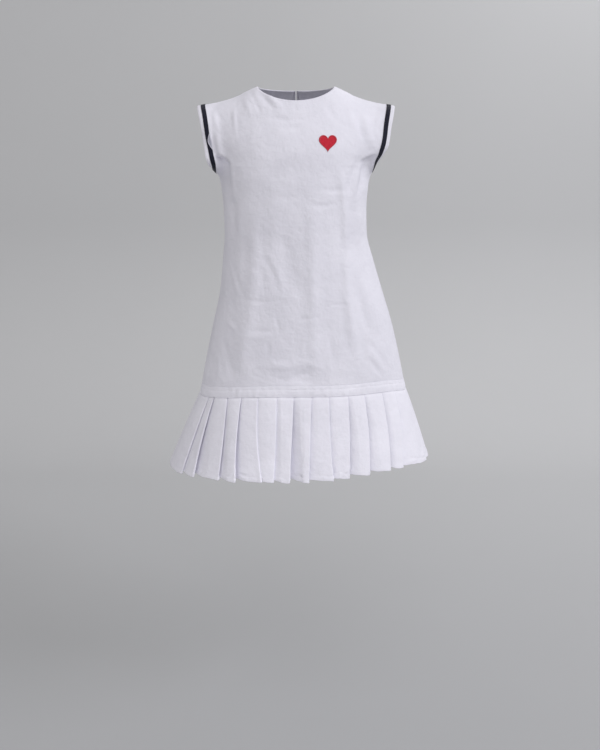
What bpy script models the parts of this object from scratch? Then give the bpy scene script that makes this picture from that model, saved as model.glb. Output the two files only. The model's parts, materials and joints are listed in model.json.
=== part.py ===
"""Nurse uniform dress: a sleeveless A-line shift with a knife-pleated flounce, hollow as worn.

The frame: +Z is up, the front faces -Y, +X is the wearer's left.  The origin lies on the
body's axis at the height of the two neck points, where the shoulder seams meet the neckline,
because the dress hangs from its wearer's shoulders.  Sizes are in millimetres, and only
solid() turns them into metres.

Around the body a "station" runs counter-clockwise seen from above: 0 is centre front, 1 the
side seam at +X, 2 centre back, 3 the side seam at -X (which is also -1).  Down the body a
"level" runs from 0 at the shoulder and neckline, through 1 at the underarm, to 2 at the
lower edge of the panels.
"""
import math
from bisect import bisect_right
from collections import namedtuple

import bmesh
import bpy
from mathutils import Vector
from mathutils.bvhtree import BVHTree

MM = 0.001
UP = Vector((0, 0, 1))

# --- cloth ------------------------------------------------------------------------------
EDGE = 1e-6                 # keeps a seam's points on their own piece's side, as a station
PANEL_WALL = 1.5
BAND_WALL = 2.4
PLEAT_WALL = 1.1
RIBBON_WALL = 1.0
SEAM_GAP = 0.3
FLOUNCE_GAP = 0.4           # below the band, whose lower edge isn't quite level
LAY_GAP = 0.6               # a trim's clearance over the panel that it is sewn to
LAY_LEAST = 0.45            # the least that a straight stretch of it keeps
SETTLE_PASSES = 6

# --- shoulders and neck -----------------------------------------------------------------
NECK_HALF_WIDTH = 79.0
NECK_FRONT_DROP = 30.0
NECK_BACK_DROP = 5.0
NECK_ROUNDNESS = 0.7        # below 1 the neckline leaves the shoulder seam steeply
SHOULDER_ROLL = 165.0       # height over which the cloth turns from level to upright
NECK_SHARE = 1 / 3          # share of each half's columns that end at the neckline

ShoulderRow = namedtuple("ShoulderRow", "reach height")
SHOULDER = (
    ShoulderRow(0, 12),
    ShoulderRow(40, 9),
    ShoulderRow(79, 0),
    ShoulderRow(106, -11.5),
    ShoulderRow(122, -19),
    ShoulderRow(150, -28),
    ShoulderRow(184, -35),
    ShoulderRow(205, -38),
)

# --- armholes: reach is the edge's distance from the centre line -------------------------
ArmholeRow = namedtuple("ArmholeRow", "height plus_x minus_x")
ARMHOLE = (
    ArmholeRow(-38, 205, 205),
    ArmholeRow(-60, 201, 199),
    ArmholeRow(-80, 197, 195),
    ArmholeRow(-117, 191, 188),
    ArmholeRow(-135, 185.5, 183.5),
    ArmholeRow(-146, 177.5, 179.5),
    ArmholeRow(-158, 168, 174),
)
SHOULDER_TIP = ARMHOLE[0].height
UNDERARM = ARMHOLE[-1].height
ARMHOLE_HALF_DEPTH = 52.0   # half its width, front to back, at mid height
TIP_MARGIN = 0.5            # the section is taken no nearer to the shoulder tip than this
MOST_FULLNESS = 0.95        # and the armhole takes no more of its depth than this
ARMHOLE_SQUARE = {"plus_x": 2.0, "minus_x": 3.4}    # 2 is an ellipse, more is squarer
FLARE = {"plus_x": 0.25, "minus_x": 0.5}    # share by which the lower corner stands forward
FLARE_HEIGHT = -145.0
FLARE_RISE = 24.0           # the flare fades over this height, up and down
FLARE_REACH = 16.0          # and over this distance from the armhole
SAG = {"plus_x": 0.0, "minus_x": 4.0}       # the underarm hangs this much lower
SAG_SPREAD = 32.0           # over this distance from it
CHEST_SPREAD = 0.08         # above the underarm the section is this much wider than the cloth,
CHEST_RISE = 62.0           # reached at this height over the underarm
CHEST_BLEND = 42.0          # and this far in from the armhole

# --- body sections ----------------------------------------------------------------------
BodyRow = namedtuple("BodyRow", "height plus_x minus_x front back square")
BODY = (
    BodyRow(0, 168, 174, 96, 104, 2.3),
    BodyRow(-40, 168, 174, 100, 107, 2.3),
    BodyRow(-100, 168, 174, 109, 108, 2.35),
    BodyRow(-158, 168, 174, 116, 106, 2.4),
    BodyRow(-173.5, 161, 166, 118, 105, 2.4),
    BodyRow(-190, 155, 161, 120, 104, 2.4),
    BodyRow(-242, 150, 155, 122, 103, 2.4),
    BodyRow(-299, 152, 154, 123, 105, 2.35),
    BodyRow(-357, 167, 159, 126, 111, 2.3),
    BodyRow(-421, 187, 166, 130, 119, 2.3),
    BodyRow(-501, 212, 184, 135, 128, 2.3),
    BodyRow(-588, 233, 203, 141, 136, 2.3),
    BodyRow(-660, 248, 216, 146, 142, 2.3),
)

# --- band and flounce -------------------------------------------------------------------
RingRow = namedtuple("RingRow", "front plus_x back minus_x")
BAND_FOOT = RingRow(-628, -643, -650, -652)         # heights of the band's lower edge
HEM_FOOT = RingRow(-799, -805, -815, -817)          # heights of the flounce's hem
HEM_LIFT = 8.0              # the hem's rise halfway from centre front to the +X side
HEM_REACH = RingRow(190, 304, 192, 294)             # the hem's distances from the axis
HEM_SQUARE = 2.1
BAND_HEIGHT = 24.0
BAND_PROUD = 0.7            # the band stands this far outside the panels' face

# Free fold edges, as distances from centre front along the band seam and along the hem.
# "rise" is the share of a pleat's open face, at the hem, over which it climbs to its crest.
PleatRow = namedtuple("PleatRow", "at_band at_hem rise")
FRONT_PLEATS = (
    PleatRow(-285, -372, 0.5),
    PleatRow(-208, -274, 0.5),
    PleatRow(-190, -234, 0.5),
    PleatRow(-152, -169, 0.5),
    PleatRow(-118, -128, 0.5),
    PleatRow(-81, -69, 0.5),
    PleatRow(-41, -47, 0.5),
    PleatRow(-5, -13, 0.5),
    PleatRow(32, 27, 0.9),
    PleatRow(69, 79, 0.5),
    PleatRow(110, 113, 0.5),
    PleatRow(146, 158, 0.5),
    PleatRow(189, 209, 0.5),
    PleatRow(226, 243, 0.5),
    PleatRow(283, 349, 0.5),
)
BACK_PLEATS = 17
UNDERLAY_AT_BAND = 17.0
UNDERLAY_AT_HEM = 12.0
UNDERLAY_MOST = 0.7         # of a pleat's own width
HEM_SWING = 10.0            # from a pleat's inner fold to its crest, at the hem
HEM_SPRUNG = 15.0           # the same in the one pleat that has sprung open
FLOUNCE_BOW = 3.0           # halfway down, the flounce stands this far out
EMERGE_CLIMB = 0.15         # share of the climb made where a pleat comes out from its cover
SHOULDER_CLIMB = 0.75       # share made at its shoulder
CREST_DROP = 1.5            # from the crest down to where the underlay starts

# --- drape: soft ridges (+) and troughs (-) of the panels, seen from the front ------------
FoldRow = namedtuple("FoldRow", "face top_x top_z foot_x foot_z relief width")
FOLDS = (
    FoldRow(-1, -148, -112, -122, -270, -4.0, 17),
    FoldRow(-1, 142, -108, 122, -258, -4.0, 17),
    FoldRow(-1, -120, -330, -150, -618, 3.5, 26),
    FoldRow(-1, 138, -350, 190, -618, 3.5, 26),
    FoldRow(-1, 6, -300, -12, -420, -3.0, 34),
    FoldRow(-1, 30, -560, 10, -618, -3.0, 30),
    FoldRow(1, -140, -95, -118, -280, -4.0, 18),
    FoldRow(1, 138, -98, 112, -270, -4.0, 18),
    FoldRow(1, -95, -240, -140, -618, 4.0, 28),
    FoldRow(1, 60, -300, 85, -618, -4.0, 26),
    FoldRow(1, 128, -330, 172, -618, 4.0, 26),
)

# --- trims ------------------------------------------------------------------------------
RIBBON_INSET = 8.0
RIBBON_WIDTH = 9.0
HEART_CENTRE_X = 64.0
HEART_CENTRE_Z = -114.0
HEART_HALF_WIDTH = 18.0
HEART_WALL = 1.2
HEART_STEPS = 32
HEART_RINGS = (1.0, 0.66, 0.33)
SLIT_LENGTH = 130.0
SLIT_HALF_GAP = 1.4
SLIT_BULGE = 0.75           # the slit is widest at two thirds of its height, the button's side
BUTTON_RADIUS = 5.5
BUTTON_X = 9.5
BUTTON_DROP = 9.0           # below the back neckline
SHANK_RADIUS = 1.8
SHANK_HEIGHT = 2.2
BUTTON_THICK = 2.2
LOOP_RADIUS = 0.6
LOOP_INNER = 2.6
LOOP_ROOT = 4.0             # from the centre line to where the loop is sewn on
LOOP_SIDES = 8
BUTTON_STEPS = 20

# --- mesh density -----------------------------------------------------------------------
HALF_COLUMNS = 18
UPPER_ROWS = 16
COLUMN_BLEND = 0.4          # levels above the underarm over which the columns close up
LOWER_ROWS = 9
BAND_ROWS = 1
FLOUNCE_ROWS = 3
RIBBON_STEPS = 72
RIBBON_ROWS = 3


def mix(start, end, share):
    return start + (end - start) * share


def ease(share):
    """0 to 1, level at both ends."""
    share = min(max(share, 0.0), 1.0)
    return share * share * (3 - 2 * share)


def curve(table, key, column):
    """A function that runs smoothly, without overshoot, through two columns of a table."""
    rows = sorted((getattr(row, key), getattr(row, column)) for row in table)
    keys = [row[0] for row in rows]
    values = [row[1] for row in rows]
    steps = [after - before for before, after in zip(keys, keys[1:])]
    secants = [(after - before) / step for before, after, step in zip(values, values[1:], steps)]
    slopes = [secants[0]]
    for before, after in zip(secants, secants[1:]):
        level = before * after <= 0
        slopes.append(0.0 if level else 2 * before * after / (before + after))
    slopes.append(secants[-1])

    def value(at):
        at = min(max(at, keys[0]), keys[-1])
        i = min(bisect_right(keys, at) - 1, len(steps) - 1)
        t = (at - keys[i]) / steps[i]
        bend = slopes[i] * t * (1 - t) ** 2 - slopes[i + 1] * t * t * (1 - t)
        return mix(values[i], values[i + 1], ease(t)) + bend * steps[i]
    return value


shoulder_height = curve(SHOULDER, "reach", "height")
armhole_reach = {side: curve(ARMHOLE, "height", side) for side in ("plus_x", "minus_x")}
body_reach = {side: curve(BODY, "height", side) for side in ("plus_x", "minus_x")}
body_depth = {face: curve(BODY, "height", face) for face in ("front", "back")}
body_square = curve(BODY, "height", "square")


def quarter(station):
    """The face, the side and the 0..1 distance from the centre line that a station lies at."""
    station = (station + 1) % 4 - 1
    if station <= 1:
        side = "plus_x" if station >= 0 else "minus_x"
        return "front", side, abs(station)
    side = "plus_x" if station <= 2 else "minus_x"
    return "back", side, abs(station - 2)


def around(row, station):
    """A ring's value at a station, eased from its four named values."""
    face, side, share = quarter(station)
    centre = getattr(row, face)
    return mix(getattr(row, side), centre, math.cos(share * math.pi / 2) ** 2)


def shoulder_roll(reach, height):
    """How far over from level to upright the cloth has turned: 0 on the shoulder, then 1."""
    drop = (shoulder_height(reach) - height) / SHOULDER_ROLL
    drop = min(max(drop, 0.0), 1.0)
    return math.sqrt(1 - (1 - drop) ** 2)


def armhole_half_gap(side, height):
    middle = (SHOULDER_TIP + UNDERARM) / 2
    half = (SHOULDER_TIP - UNDERARM) / 2
    away = abs(height - middle) / half
    square = ARMHOLE_SQUARE[side] if height < middle else 2
    return ARMHOLE_HALF_DEPTH * max(0.0, 1 - away ** square) ** (1 / square)


def section_edge(face, side, height):
    """Reach of the body section at a height, and the angle at which the cloth ends on it.

    Above the underarm the section is wider than the cloth, which ends at the armhole.
    """
    if height <= UNDERARM:
        return body_reach[side](height), math.pi / 2
    height = min(height, SHOULDER_TIP - TIP_MARGIN)
    edge = armhole_reach[side](height)
    square = body_square(height)
    depth = body_depth[face](height) * shoulder_roll(edge, height)
    fullness = min(armhole_half_gap(side, height) / depth, MOST_FULLNESS)
    angle = math.acos(fullness ** (square / 2))
    return edge / math.sin(angle) ** (2 / square), angle


def depth_at(face, side, reach, height):
    """The cloth's distance in front of or behind the shoulder plane."""
    width = section_edge(face, side, height)[0]
    square = body_square(height)
    edge = armhole_reach[side](height)
    if height > UNDERARM:
        inner = edge * (1 + CHEST_SPREAD * ease((height - UNDERARM) / CHEST_RISE))
        width = mix(width, inner, ease((edge - reach) / CHEST_BLEND))
    fullness = max(0.0, 1 - min(reach / width, 1.0) ** square) ** (1 / square)
    from_corner = ((edge - reach) / FLARE_REACH) ** 2 + ((height - FLARE_HEIGHT) / FLARE_RISE) ** 2
    flare = 1 + FLARE[side] * math.exp(-from_corner)
    return body_depth[face](height) * fullness * flare * shoulder_roll(reach, height)


def place(face, side, reach, height):
    across = reach if side == "plus_x" else -reach
    depth = depth_at(face, side, reach, height)
    away = ((armhole_reach[side](height) - reach) ** 2 + (height - UNDERARM) ** 2) / SAG_SPREAD ** 2
    lowered = height - SAG[side] * math.exp(-away)
    return Vector((across, -depth if face == "front" else depth, lowered))


def top_edge(face, share):
    """Reach and height of the panel's upper edge: the neckline, then the shoulder seam."""
    if share <= NECK_SHARE:
        reach = NECK_HALF_WIDTH * share / NECK_SHARE
        drop = NECK_FRONT_DROP if face == "front" else NECK_BACK_DROP
        lowered = max(0.0, 1 - (reach / NECK_HALF_WIDTH) ** 2)
        return reach, -drop * lowered ** NECK_ROUNDNESS
    tip = ARMHOLE[0].plus_x
    reach = mix(NECK_HALF_WIDTH, tip, (share - NECK_SHARE) / (1 - NECK_SHARE))
    return reach, shoulder_height(reach)


def section_point(station, height):
    """A point of the body section at a height below the underarm."""
    face, side, share = quarter(station)
    reach = body_reach[side](height) * math.sin(share * math.pi / 2) ** (2 / body_square(height))
    return place(face, side, reach, height)


def smooth_body(station, level):
    """A point of the body's outer face before the drape's folds."""
    face, side, share = quarter(station)
    if level >= 1:
        foot = around(BAND_FOOT, station) + BAND_HEIGHT
        return section_point(station, mix(UNDERARM, foot, level - 1))
    down = (1 - math.cos(math.pi * level)) / 2
    top_reach, top_height = top_edge(face, share)
    edge_height = mix(SHOULDER_TIP, UNDERARM, down)
    edge = armhole_reach[side](edge_height)
    angle = section_edge(face, side, edge_height)[1]
    angle = mix(math.pi / 2, angle, ease((1 - level) / COLUMN_BLEND))
    turned = (math.sin(share * angle) / math.sin(angle)) ** (2 / body_square(edge_height))
    reach = edge * mix(top_reach / ARMHOLE[0].plus_x, turned, down)
    return place(face, side, reach, mix(top_height, UNDERARM, down))


def body_normal(station, level, first, last):
    """Outward direction of the cloth, measured inside the panel that runs first..last."""
    step = 0.0005
    along = smooth_body(min(station + step, last), level)
    along -= smooth_body(max(station - step, first), level)
    down = smooth_body(station, min(level + step, 2.0))
    down -= smooth_body(station, max(level - step, 0.0))
    return down.cross(along).normalized()


def fold_relief(station, point):
    """Height of the drape's ridges and troughs at a point, none at the seams."""
    face, side, share = quarter(station)
    relief = 0.0
    for row in FOLDS:
        if (row.face < 0) != (face == "front"):
            continue
        run = Vector((row.foot_x - row.top_x, row.foot_z - row.top_z))
        away = Vector((point.x - row.top_x, point.z - row.top_z))
        along = away.dot(run) / run.length_squared
        if 0 < along < 1:
            aside = (away - run * along).length / row.width
            relief += row.relief * math.sin(math.pi * along) ** 0.7 * math.exp(-aside * aside)
    return relief * (1 - share ** 8)


def slit_half_gap(height):
    """Half the width between the two backs: a seam, and above it the neck slit."""
    up = (height + NECK_BACK_DROP + SLIT_LENGTH) / SLIT_LENGTH
    opened = math.sin(math.pi * SLIT_BULGE * min(up, 1.0)) if up > 0 else 0.0
    return SEAM_GAP / 2 + SLIT_HALF_GAP * opened


def body_wall(station, level, first, last, depth=0.0):
    """A point of a body panel, at a depth into its wall."""
    point = smooth_body(station, level)
    normal = body_normal(station, level, first, last)
    if level == 2:
        normal.z = 0
        normal.normalize()
    moved = point + normal * (fold_relief(station, point) - depth)
    face, side, share = quarter(station)
    moved.y += -SEAM_GAP / 2 if face == "front" else SEAM_GAP / 2
    if face == "back":
        outward = 1 if station < 2 else -1
        moved.x += outward * slit_half_gap(point.z) * (1 - share) ** 6
    return moved


# --- solids -----------------------------------------------------------------------------
def cloth_material(name, colour, roughness):
    material = bpy.data.materials.new(name)
    material.use_nodes = True
    shader = material.node_tree.nodes["Principled BSDF"]
    shader.inputs["Base Color"].default_value = (*colour, 1)
    shader.inputs["Roughness"].default_value = roughness
    shader.inputs["Metallic"].default_value = 0
    return material


def solid(name, bm, material):
    """Finish a bmesh in millimetres as one named object in metres."""
    bmesh.ops.scale(bm, vec=(MM, MM, MM), verts=bm.verts)
    bmesh.ops.recalc_face_normals(bm, faces=bm.faces)
    mesh = bpy.data.meshes.new(name)
    bm.to_mesh(mesh)
    bm.free()
    mesh.materials.append(material)
    mesh.shade_smooth()
    mesh.set_sharp_from_angle(angle=math.radians(40))
    part = bpy.data.objects.new(name, mesh)
    bpy.context.scene.collection.objects.link(part)
    return part


def wall(name, outer, inner, material, closed=False, backward=()):
    """A cloth wall between two grids of points, rimmed along every free edge.

    Both faces are cut along the same diagonals, and columns that run backward along the
    cloth's section along the other one, so that layers which lie together stay parallel.
    """
    bm = bmesh.new()
    out, back = [[[bm.verts.new(point) for point in row] for row in grid]
                 for grid in (outer, inner)]
    rows = len(out)
    columns = len(out[0])
    for c in range(columns if closed else columns - 1):
        d = (c + 1) % columns
        for upper, lower in zip(out, out[1:]):
            for corners in cut_quad(upper[c], lower[c], lower[d], upper[d], c in backward):
                bm.faces.new(corners)
        for upper, lower in zip(back, back[1:]):
            for corners in cut_quad(upper[c], lower[c], lower[d], upper[d], c in backward):
                bm.faces.new(corners[::-1])
        for r in (0, rows - 1):
            bm.faces.new((out[r][c], out[r][d], back[r][d], back[r][c]))
    if not closed:
        for c in (0, columns - 1):
            for r in range(rows - 1):
                bm.faces.new((out[r][c], back[r][c], back[r + 1][c], out[r + 1][c]))
    return solid(name, bm, material)


def cut_quad(a, b, c, d, other_way):
    """A four-sided face as two triangles, cut from a to c or from b to d."""
    if other_way:
        return (a, b, d), (b, c, d)
    return (a, b, c), (a, c, d)


def levels():
    upper = [r / UPPER_ROWS for r in range(UPPER_ROWS)]
    lower = [1 + r / LOWER_ROWS for r in range(LOWER_ROWS + 1)]
    return upper + lower


def panel(name, first, last, material):
    """One cut piece of the body between two stations."""
    count = int(round((last - first) * HALF_COLUMNS))
    first += EDGE
    last -= EDGE
    stations = [mix(first, last, c / count) for c in range(count + 1)]
    grids = []
    for depth in (0.0, PANEL_WALL):
        grids.append([[body_wall(s, level, first, last, depth) for s in stations]
                      for level in levels()])
    wall(name, grids[0], grids[1], material)
    return grids[0]


def layer(grids):
    """A function that lays a point on the outer faces of the panels, lifted off them."""
    points = []
    faces = []
    for grid in grids:
        columns = len(grid[0])
        first = len(points)
        for row in grid:
            points.extend(row)
        for r in range(len(grid) - 1):
            for c in range(columns - 1):
                at = first + r * columns + c
                faces.extend(cut_quad(at, at + columns, at + columns + 1, at + 1, False))
    tree = BVHTree.FromPolygons(points, faces)

    def lay(point, lift):
        spot, normal, _, _ = tree.find_nearest(point)
        return spot + normal * lift
    return lay


def settle(rows, outs, lay):
    """Lift a closed strip's points until no stretch between neighbours dips into a panel."""
    points = [[point + out * LAY_GAP for point, out in zip(*pair)] for pair in zip(rows, outs)]
    for _ in range(SETTLE_PASSES):
        for r, row in enumerate(points):
            for i in range(len(row)):
                for s, k in ((r, i - 1), (r - 1, i), (r - 1, i - 1)):
                    if s < 0:
                        continue
                    middle = (points[r][i] + points[s][k]) / 2
                    spot = lay(middle, 0.0)
                    height = (middle - spot).dot(lay(middle, 1.0) - spot)
                    if height < LAY_LEAST:
                        points[r][i] += outs[r][i] * (LAY_LEAST - height)
                        points[s][k] += outs[s][k] * (LAY_LEAST - height)
    return points


def ring_normal(ring, station):
    step = 0.002
    along = ring(station + step) - ring(station - step)
    along.z = 0
    return along.cross(UP).normalized()


def band_foot(station):
    return section_point(station, around(BAND_FOOT, station))


def band(name, first, last, material):
    """The strip between the panels and the flounce."""
    count = int(round((last - first) * HALF_COLUMNS))
    sideways = Vector((0, -SEAM_GAP / 2 if first < 1 else SEAM_GAP / 2, 0))
    grids = []
    for depth in (-BAND_PROUD, BAND_WALL - BAND_PROUD):
        rows = []
        for r in range(BAND_ROWS + 1):
            row = []
            for c in range(count + 1):
                station = mix(first, last, c / count)
                foot = around(BAND_FOOT, station)
                height = mix(foot + BAND_HEIGHT - SEAM_GAP, foot, r / BAND_ROWS)
                point = section_point(station, height)
                row.append(point - ring_normal(band_foot, station) * depth + sideways)
            rows.append(row)
        grids.append(rows)
    return wall(name, grids[0], grids[1], material)


# --- flounce ----------------------------------------------------------------------------
def hem_foot(station):
    face, side, share = quarter(station)
    turn = share * math.pi / 2
    reach = getattr(HEM_REACH, side) * math.sin(turn) ** (2 / HEM_SQUARE)
    depth = getattr(HEM_REACH, face) * math.cos(turn) ** (2 / HEM_SQUARE)
    across = reach if side == "plus_x" else -reach
    height = around(HEM_FOOT, station)
    if face == "front" and side == "plus_x":
        height += HEM_LIFT * math.sin(share * math.pi) ** 2
    return Vector((across, -depth if face == "front" else depth, height))


def station_finder(ring):
    """Turns a distance from centre front, measured along a ring, into a station."""
    steps = 720
    stations = [-1 + 4 * i / steps for i in range(steps + 1)]
    points = [ring(station) for station in stations]
    run = [0.0]
    for before, after in zip(points, points[1:]):
        run.append(run[-1] + (after - before).length)
    centre = run[steps // 4]

    def find(distance):
        girth = run[-1]
        at = (distance + centre) % girth
        i = min(bisect_right(run, at) - 1, steps - 1)
        return mix(stations[i], stations[i + 1], (at - run[i]) / (run[i + 1] - run[i]))
    return find, run[-1]


Corner = namedtuple("Corner", "at offset along out")


def pleat_line(folds, inner_fold, crest):
    """Section of a run of knife pleats at one edge, as corners of the cloth's middle line.

    Each pleat starts at its inner fold under the one before, climbs to its crest, ends at
    its free fold edge and turns back under itself.
    """
    pitch = PLEAT_WALL + SEAM_GAP
    line = []
    for before, pleat in zip(folds, folds[1:]):
        foot = inner_fold(pleat)
        top = crest(pleat)
        emerge = max(foot, min(mix(foot, top, EMERGE_CLIMB), top - 2 * pitch))
        covered = pleat.at - pleat.underlay
        climbed = max(foot + 2 * pitch, top - CREST_DROP)
        shoulder = mix(before.at, covered, pleat.rise)
        line.append(Corner(before.at - before.underlay, foot, 1, 1))
        line.append(Corner(before.at, emerge, 0, 1))
        line.append(Corner(shoulder, mix(emerge, climbed, SHOULDER_CLIMB), 0, 1))
        line.append(Corner(covered, climbed, 0, 1))
        line.append(Corner(pleat.at, top, 1, 1))
        line.append(Corner(pleat.at, top - pitch, 1, -1))
        line.append(Corner(covered, foot + pitch, 1, -1))
    return line


Pleat = namedtuple("Pleat", "at underlay rise sprung")


def pleat_run(rows, edge, underlay):
    """A run of fold edges at the band or the hem, each with the depth turned under it."""
    pleats = []
    for i, row in enumerate(rows):
        at = getattr(row, edge)
        width = at - getattr(rows[i - 1], edge) if i else underlay / UNDERLAY_MOST
        pleats.append(Pleat(at, min(underlay, UNDERLAY_MOST * width), row.rise, row.rise > 0.7))
    return pleats


def flounce(name, rows, material):
    """A run of knife pleats, ruled from the band to the hem."""
    pitch = PLEAT_WALL + SEAM_GAP
    stack_foot = (BAND_PROUD * 2 - BAND_WALL) / 2 - pitch
    at_band = pleat_line(pleat_run(rows, "at_band", UNDERLAY_AT_BAND),
                         lambda pleat: stack_foot, lambda pleat: stack_foot + 2 * pitch)
    at_hem = pleat_line(pleat_run(rows, "at_hem", UNDERLAY_AT_HEM),
                        lambda pleat: HEM_SWING / 2 - (HEM_SPRUNG if pleat.sprung else HEM_SWING),
                        lambda pleat: HEM_SWING / 2)
    grids = []
    for face in (1, -1):
        lines = []
        for upper, lower in zip(at_band, at_hem):
            ends = []
            for corner, ring in ((upper, band_foot), (lower, hem_foot)):
                station = FIND_STATION[ring](corner.at + face * corner.along * PLEAT_WALL / 2)
                out = ring_normal(ring, station)
                offset = corner.offset + face * corner.out * PLEAT_WALL / 2
                ends.append((ring(station) + out * offset, out))
            ends[0][0].z -= FLOUNCE_GAP
            lines.append(ends)
        grid = []
        for r in range(FLOUNCE_ROWS + 1):
            share = r / FLOUNCE_ROWS
            bow = FLOUNCE_BOW * 4 * share * (1 - share)
            grid.append([mix(top[0], foot[0], share) + top[1] * bow for top, foot in lines])
        grids.append(grid)
    returns = [c for c in range(len(at_band) - 1) if at_band[c + 1].at < at_band[c].at]
    return wall(name, grids[0], grids[1], material, backward=returns)


def back_pleat_rows():
    """The back's folds, evenly spaced from the front's last fold round to its first."""
    first = FRONT_PLEATS[-1]
    last = FRONT_PLEATS[0]
    rows = []
    for i in range(BACK_PLEATS + 1):
        share = i / BACK_PLEATS
        rows.append(PleatRow(mix(first.at_band, last.at_band + BAND_GIRTH, share),
                             mix(first.at_hem, last.at_hem + HEM_GIRTH, share), 0.5))
    return rows


# --- trims ------------------------------------------------------------------------------
def armhole_edge(side, turn):
    """A point of an armhole's edge; turn 0 is on the shoulder seam and pi at the underarm."""
    seam = 1 if side == "plus_x" else 3
    if turn <= math.pi:
        return smooth_body(1 - EDGE if side == "plus_x" else EDGE - 1, turn / math.pi)
    return smooth_body(seam + (EDGE if side == "plus_x" else -EDGE), 2 - turn / math.pi)


def armhole_ribbon(name, side, lay, material):
    """A flat ribbon sewn round an armhole, a little way in from its edge."""
    turns = [2 * math.pi * i / RIBBON_STEPS for i in range(RIBBON_STEPS)]
    turned = 1 if side == "plus_x" else -1
    rows = []
    row = [armhole_edge(side, turn) for turn in turns]
    for step in [RIBBON_INSET] + [RIBBON_WIDTH / RIBBON_ROWS] * RIBBON_ROWS:
        inner = []
        for i, point in enumerate(row):
            along = row[(i + 1) % RIBBON_STEPS] - row[i - 1]
            inward = along.cross(lay(point, 1.0) - lay(point, 0.0)).normalized() * turned
            inner.append(lay(point + inward * step, 0.0))
        row = inner
        rows.append(row)
    outs = []
    for r, row in enumerate(rows):
        across = [below - above for above, below in
                  zip(rows[max(r - 1, 0)], rows[min(r + 1, RIBBON_ROWS)])]
        outs.append([across[i].cross(row[(i + 1) % RIBBON_STEPS] - row[i - 1]).normalized()
                     * turned for i in range(RIBBON_STEPS)])
    foot = settle(rows, outs, lay)
    top = [[point + out * RIBBON_WALL for point, out in zip(*pair)] for pair in zip(foot, outs)]
    return wall(name, top, foot, material, closed=True)


def heart_outline(turn):
    """A plain heart, 2 wide, centred on its own height."""
    across = math.sin(turn) ** 3
    up = (13 * math.cos(turn) - 5 * math.cos(2 * turn) - 2 * math.cos(3 * turn)
          - math.cos(4 * turn)) / 16
    return across, up + 0.12


def chest_heart(lay, material):
    """The heart applique on the wearer's left chest, laid on the front panel."""
    turns = [2 * math.pi * i / HEART_STEPS for i in range(HEART_STEPS)]
    bm = bmesh.new()
    edges = []
    for lift in (LAY_GAP + HEART_WALL, LAY_GAP):
        rings = []
        for share in HEART_RINGS:
            ring = []
            for turn in turns:
                across, up = heart_outline(turn)
                x = HEART_CENTRE_X + across * share * HEART_HALF_WIDTH
                z = HEART_CENTRE_Z + up * share * HEART_HALF_WIDTH
                ring.append(bm.verts.new(lay(place("front", "plus_x", x, z), lift)))
            rings.append(ring)
        centre = place("front", "plus_x", HEART_CENTRE_X, HEART_CENTRE_Z)
        middle = bm.verts.new(lay(centre, lift))
        for outer, inner in zip(rings, rings[1:]):
            for i in range(HEART_STEPS):
                bm.faces.new((outer[i - 1], outer[i], inner[i], inner[i - 1]))
        for i in range(HEART_STEPS):
            bm.faces.new((rings[-1][i - 1], rings[-1][i], middle))
        edges.append(rings[0])
    for i in range(HEART_STEPS):
        bm.faces.new((edges[0][i - 1], edges[0][i], edges[1][i], edges[1][i - 1]))
    return solid("chest_heart", bm, material)


def neck_frame(lay):
    """The button's seat on the back, and the outward, sideways and upward directions there."""
    spot = place("back", "plus_x", BUTTON_X, -NECK_BACK_DROP - BUTTON_DROP)
    seat = lay(spot, 0.0)
    out = (lay(spot, 1.0) - seat).normalized()
    side = Vector((0, 1, 0)).cross(UP)
    side = (side - out * side.dot(out)).normalized()
    return seat, out, side, out.cross(side).normalized()


def neck_button(lay, material):
    """A small round button on a shank, sewn beside the neck slit."""
    seat, out, side, _ = neck_frame(lay)
    profile = (
        (0.0, LAY_GAP),
        (SHANK_RADIUS, LAY_GAP),
        (SHANK_RADIUS, LAY_GAP + SHANK_HEIGHT),
        (BUTTON_RADIUS - 0.6, LAY_GAP + SHANK_HEIGHT),
        (BUTTON_RADIUS, LAY_GAP + SHANK_HEIGHT + 0.7),
        (BUTTON_RADIUS - 0.4, LAY_GAP + SHANK_HEIGHT + BUTTON_THICK),
        (BUTTON_RADIUS - 1.6, LAY_GAP + SHANK_HEIGHT + BUTTON_THICK - 0.5),
        (0.0, LAY_GAP + SHANK_HEIGHT + BUTTON_THICK - 0.5),
    )
    bm = bmesh.new()
    verts = [bm.verts.new(seat + side * radius + out * height) for radius, height in profile]
    edges = [bm.edges.new(pair) for pair in zip(verts, verts[1:])]
    bmesh.ops.spin(bm, geom=verts + edges, cent=seat, axis=out, angle=2 * math.pi,
                   steps=BUTTON_STEPS, use_merge=True)
    bmesh.ops.remove_doubles(bm, verts=bm.verts, dist=0.01)
    return solid("neck_button", bm, material)


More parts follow.
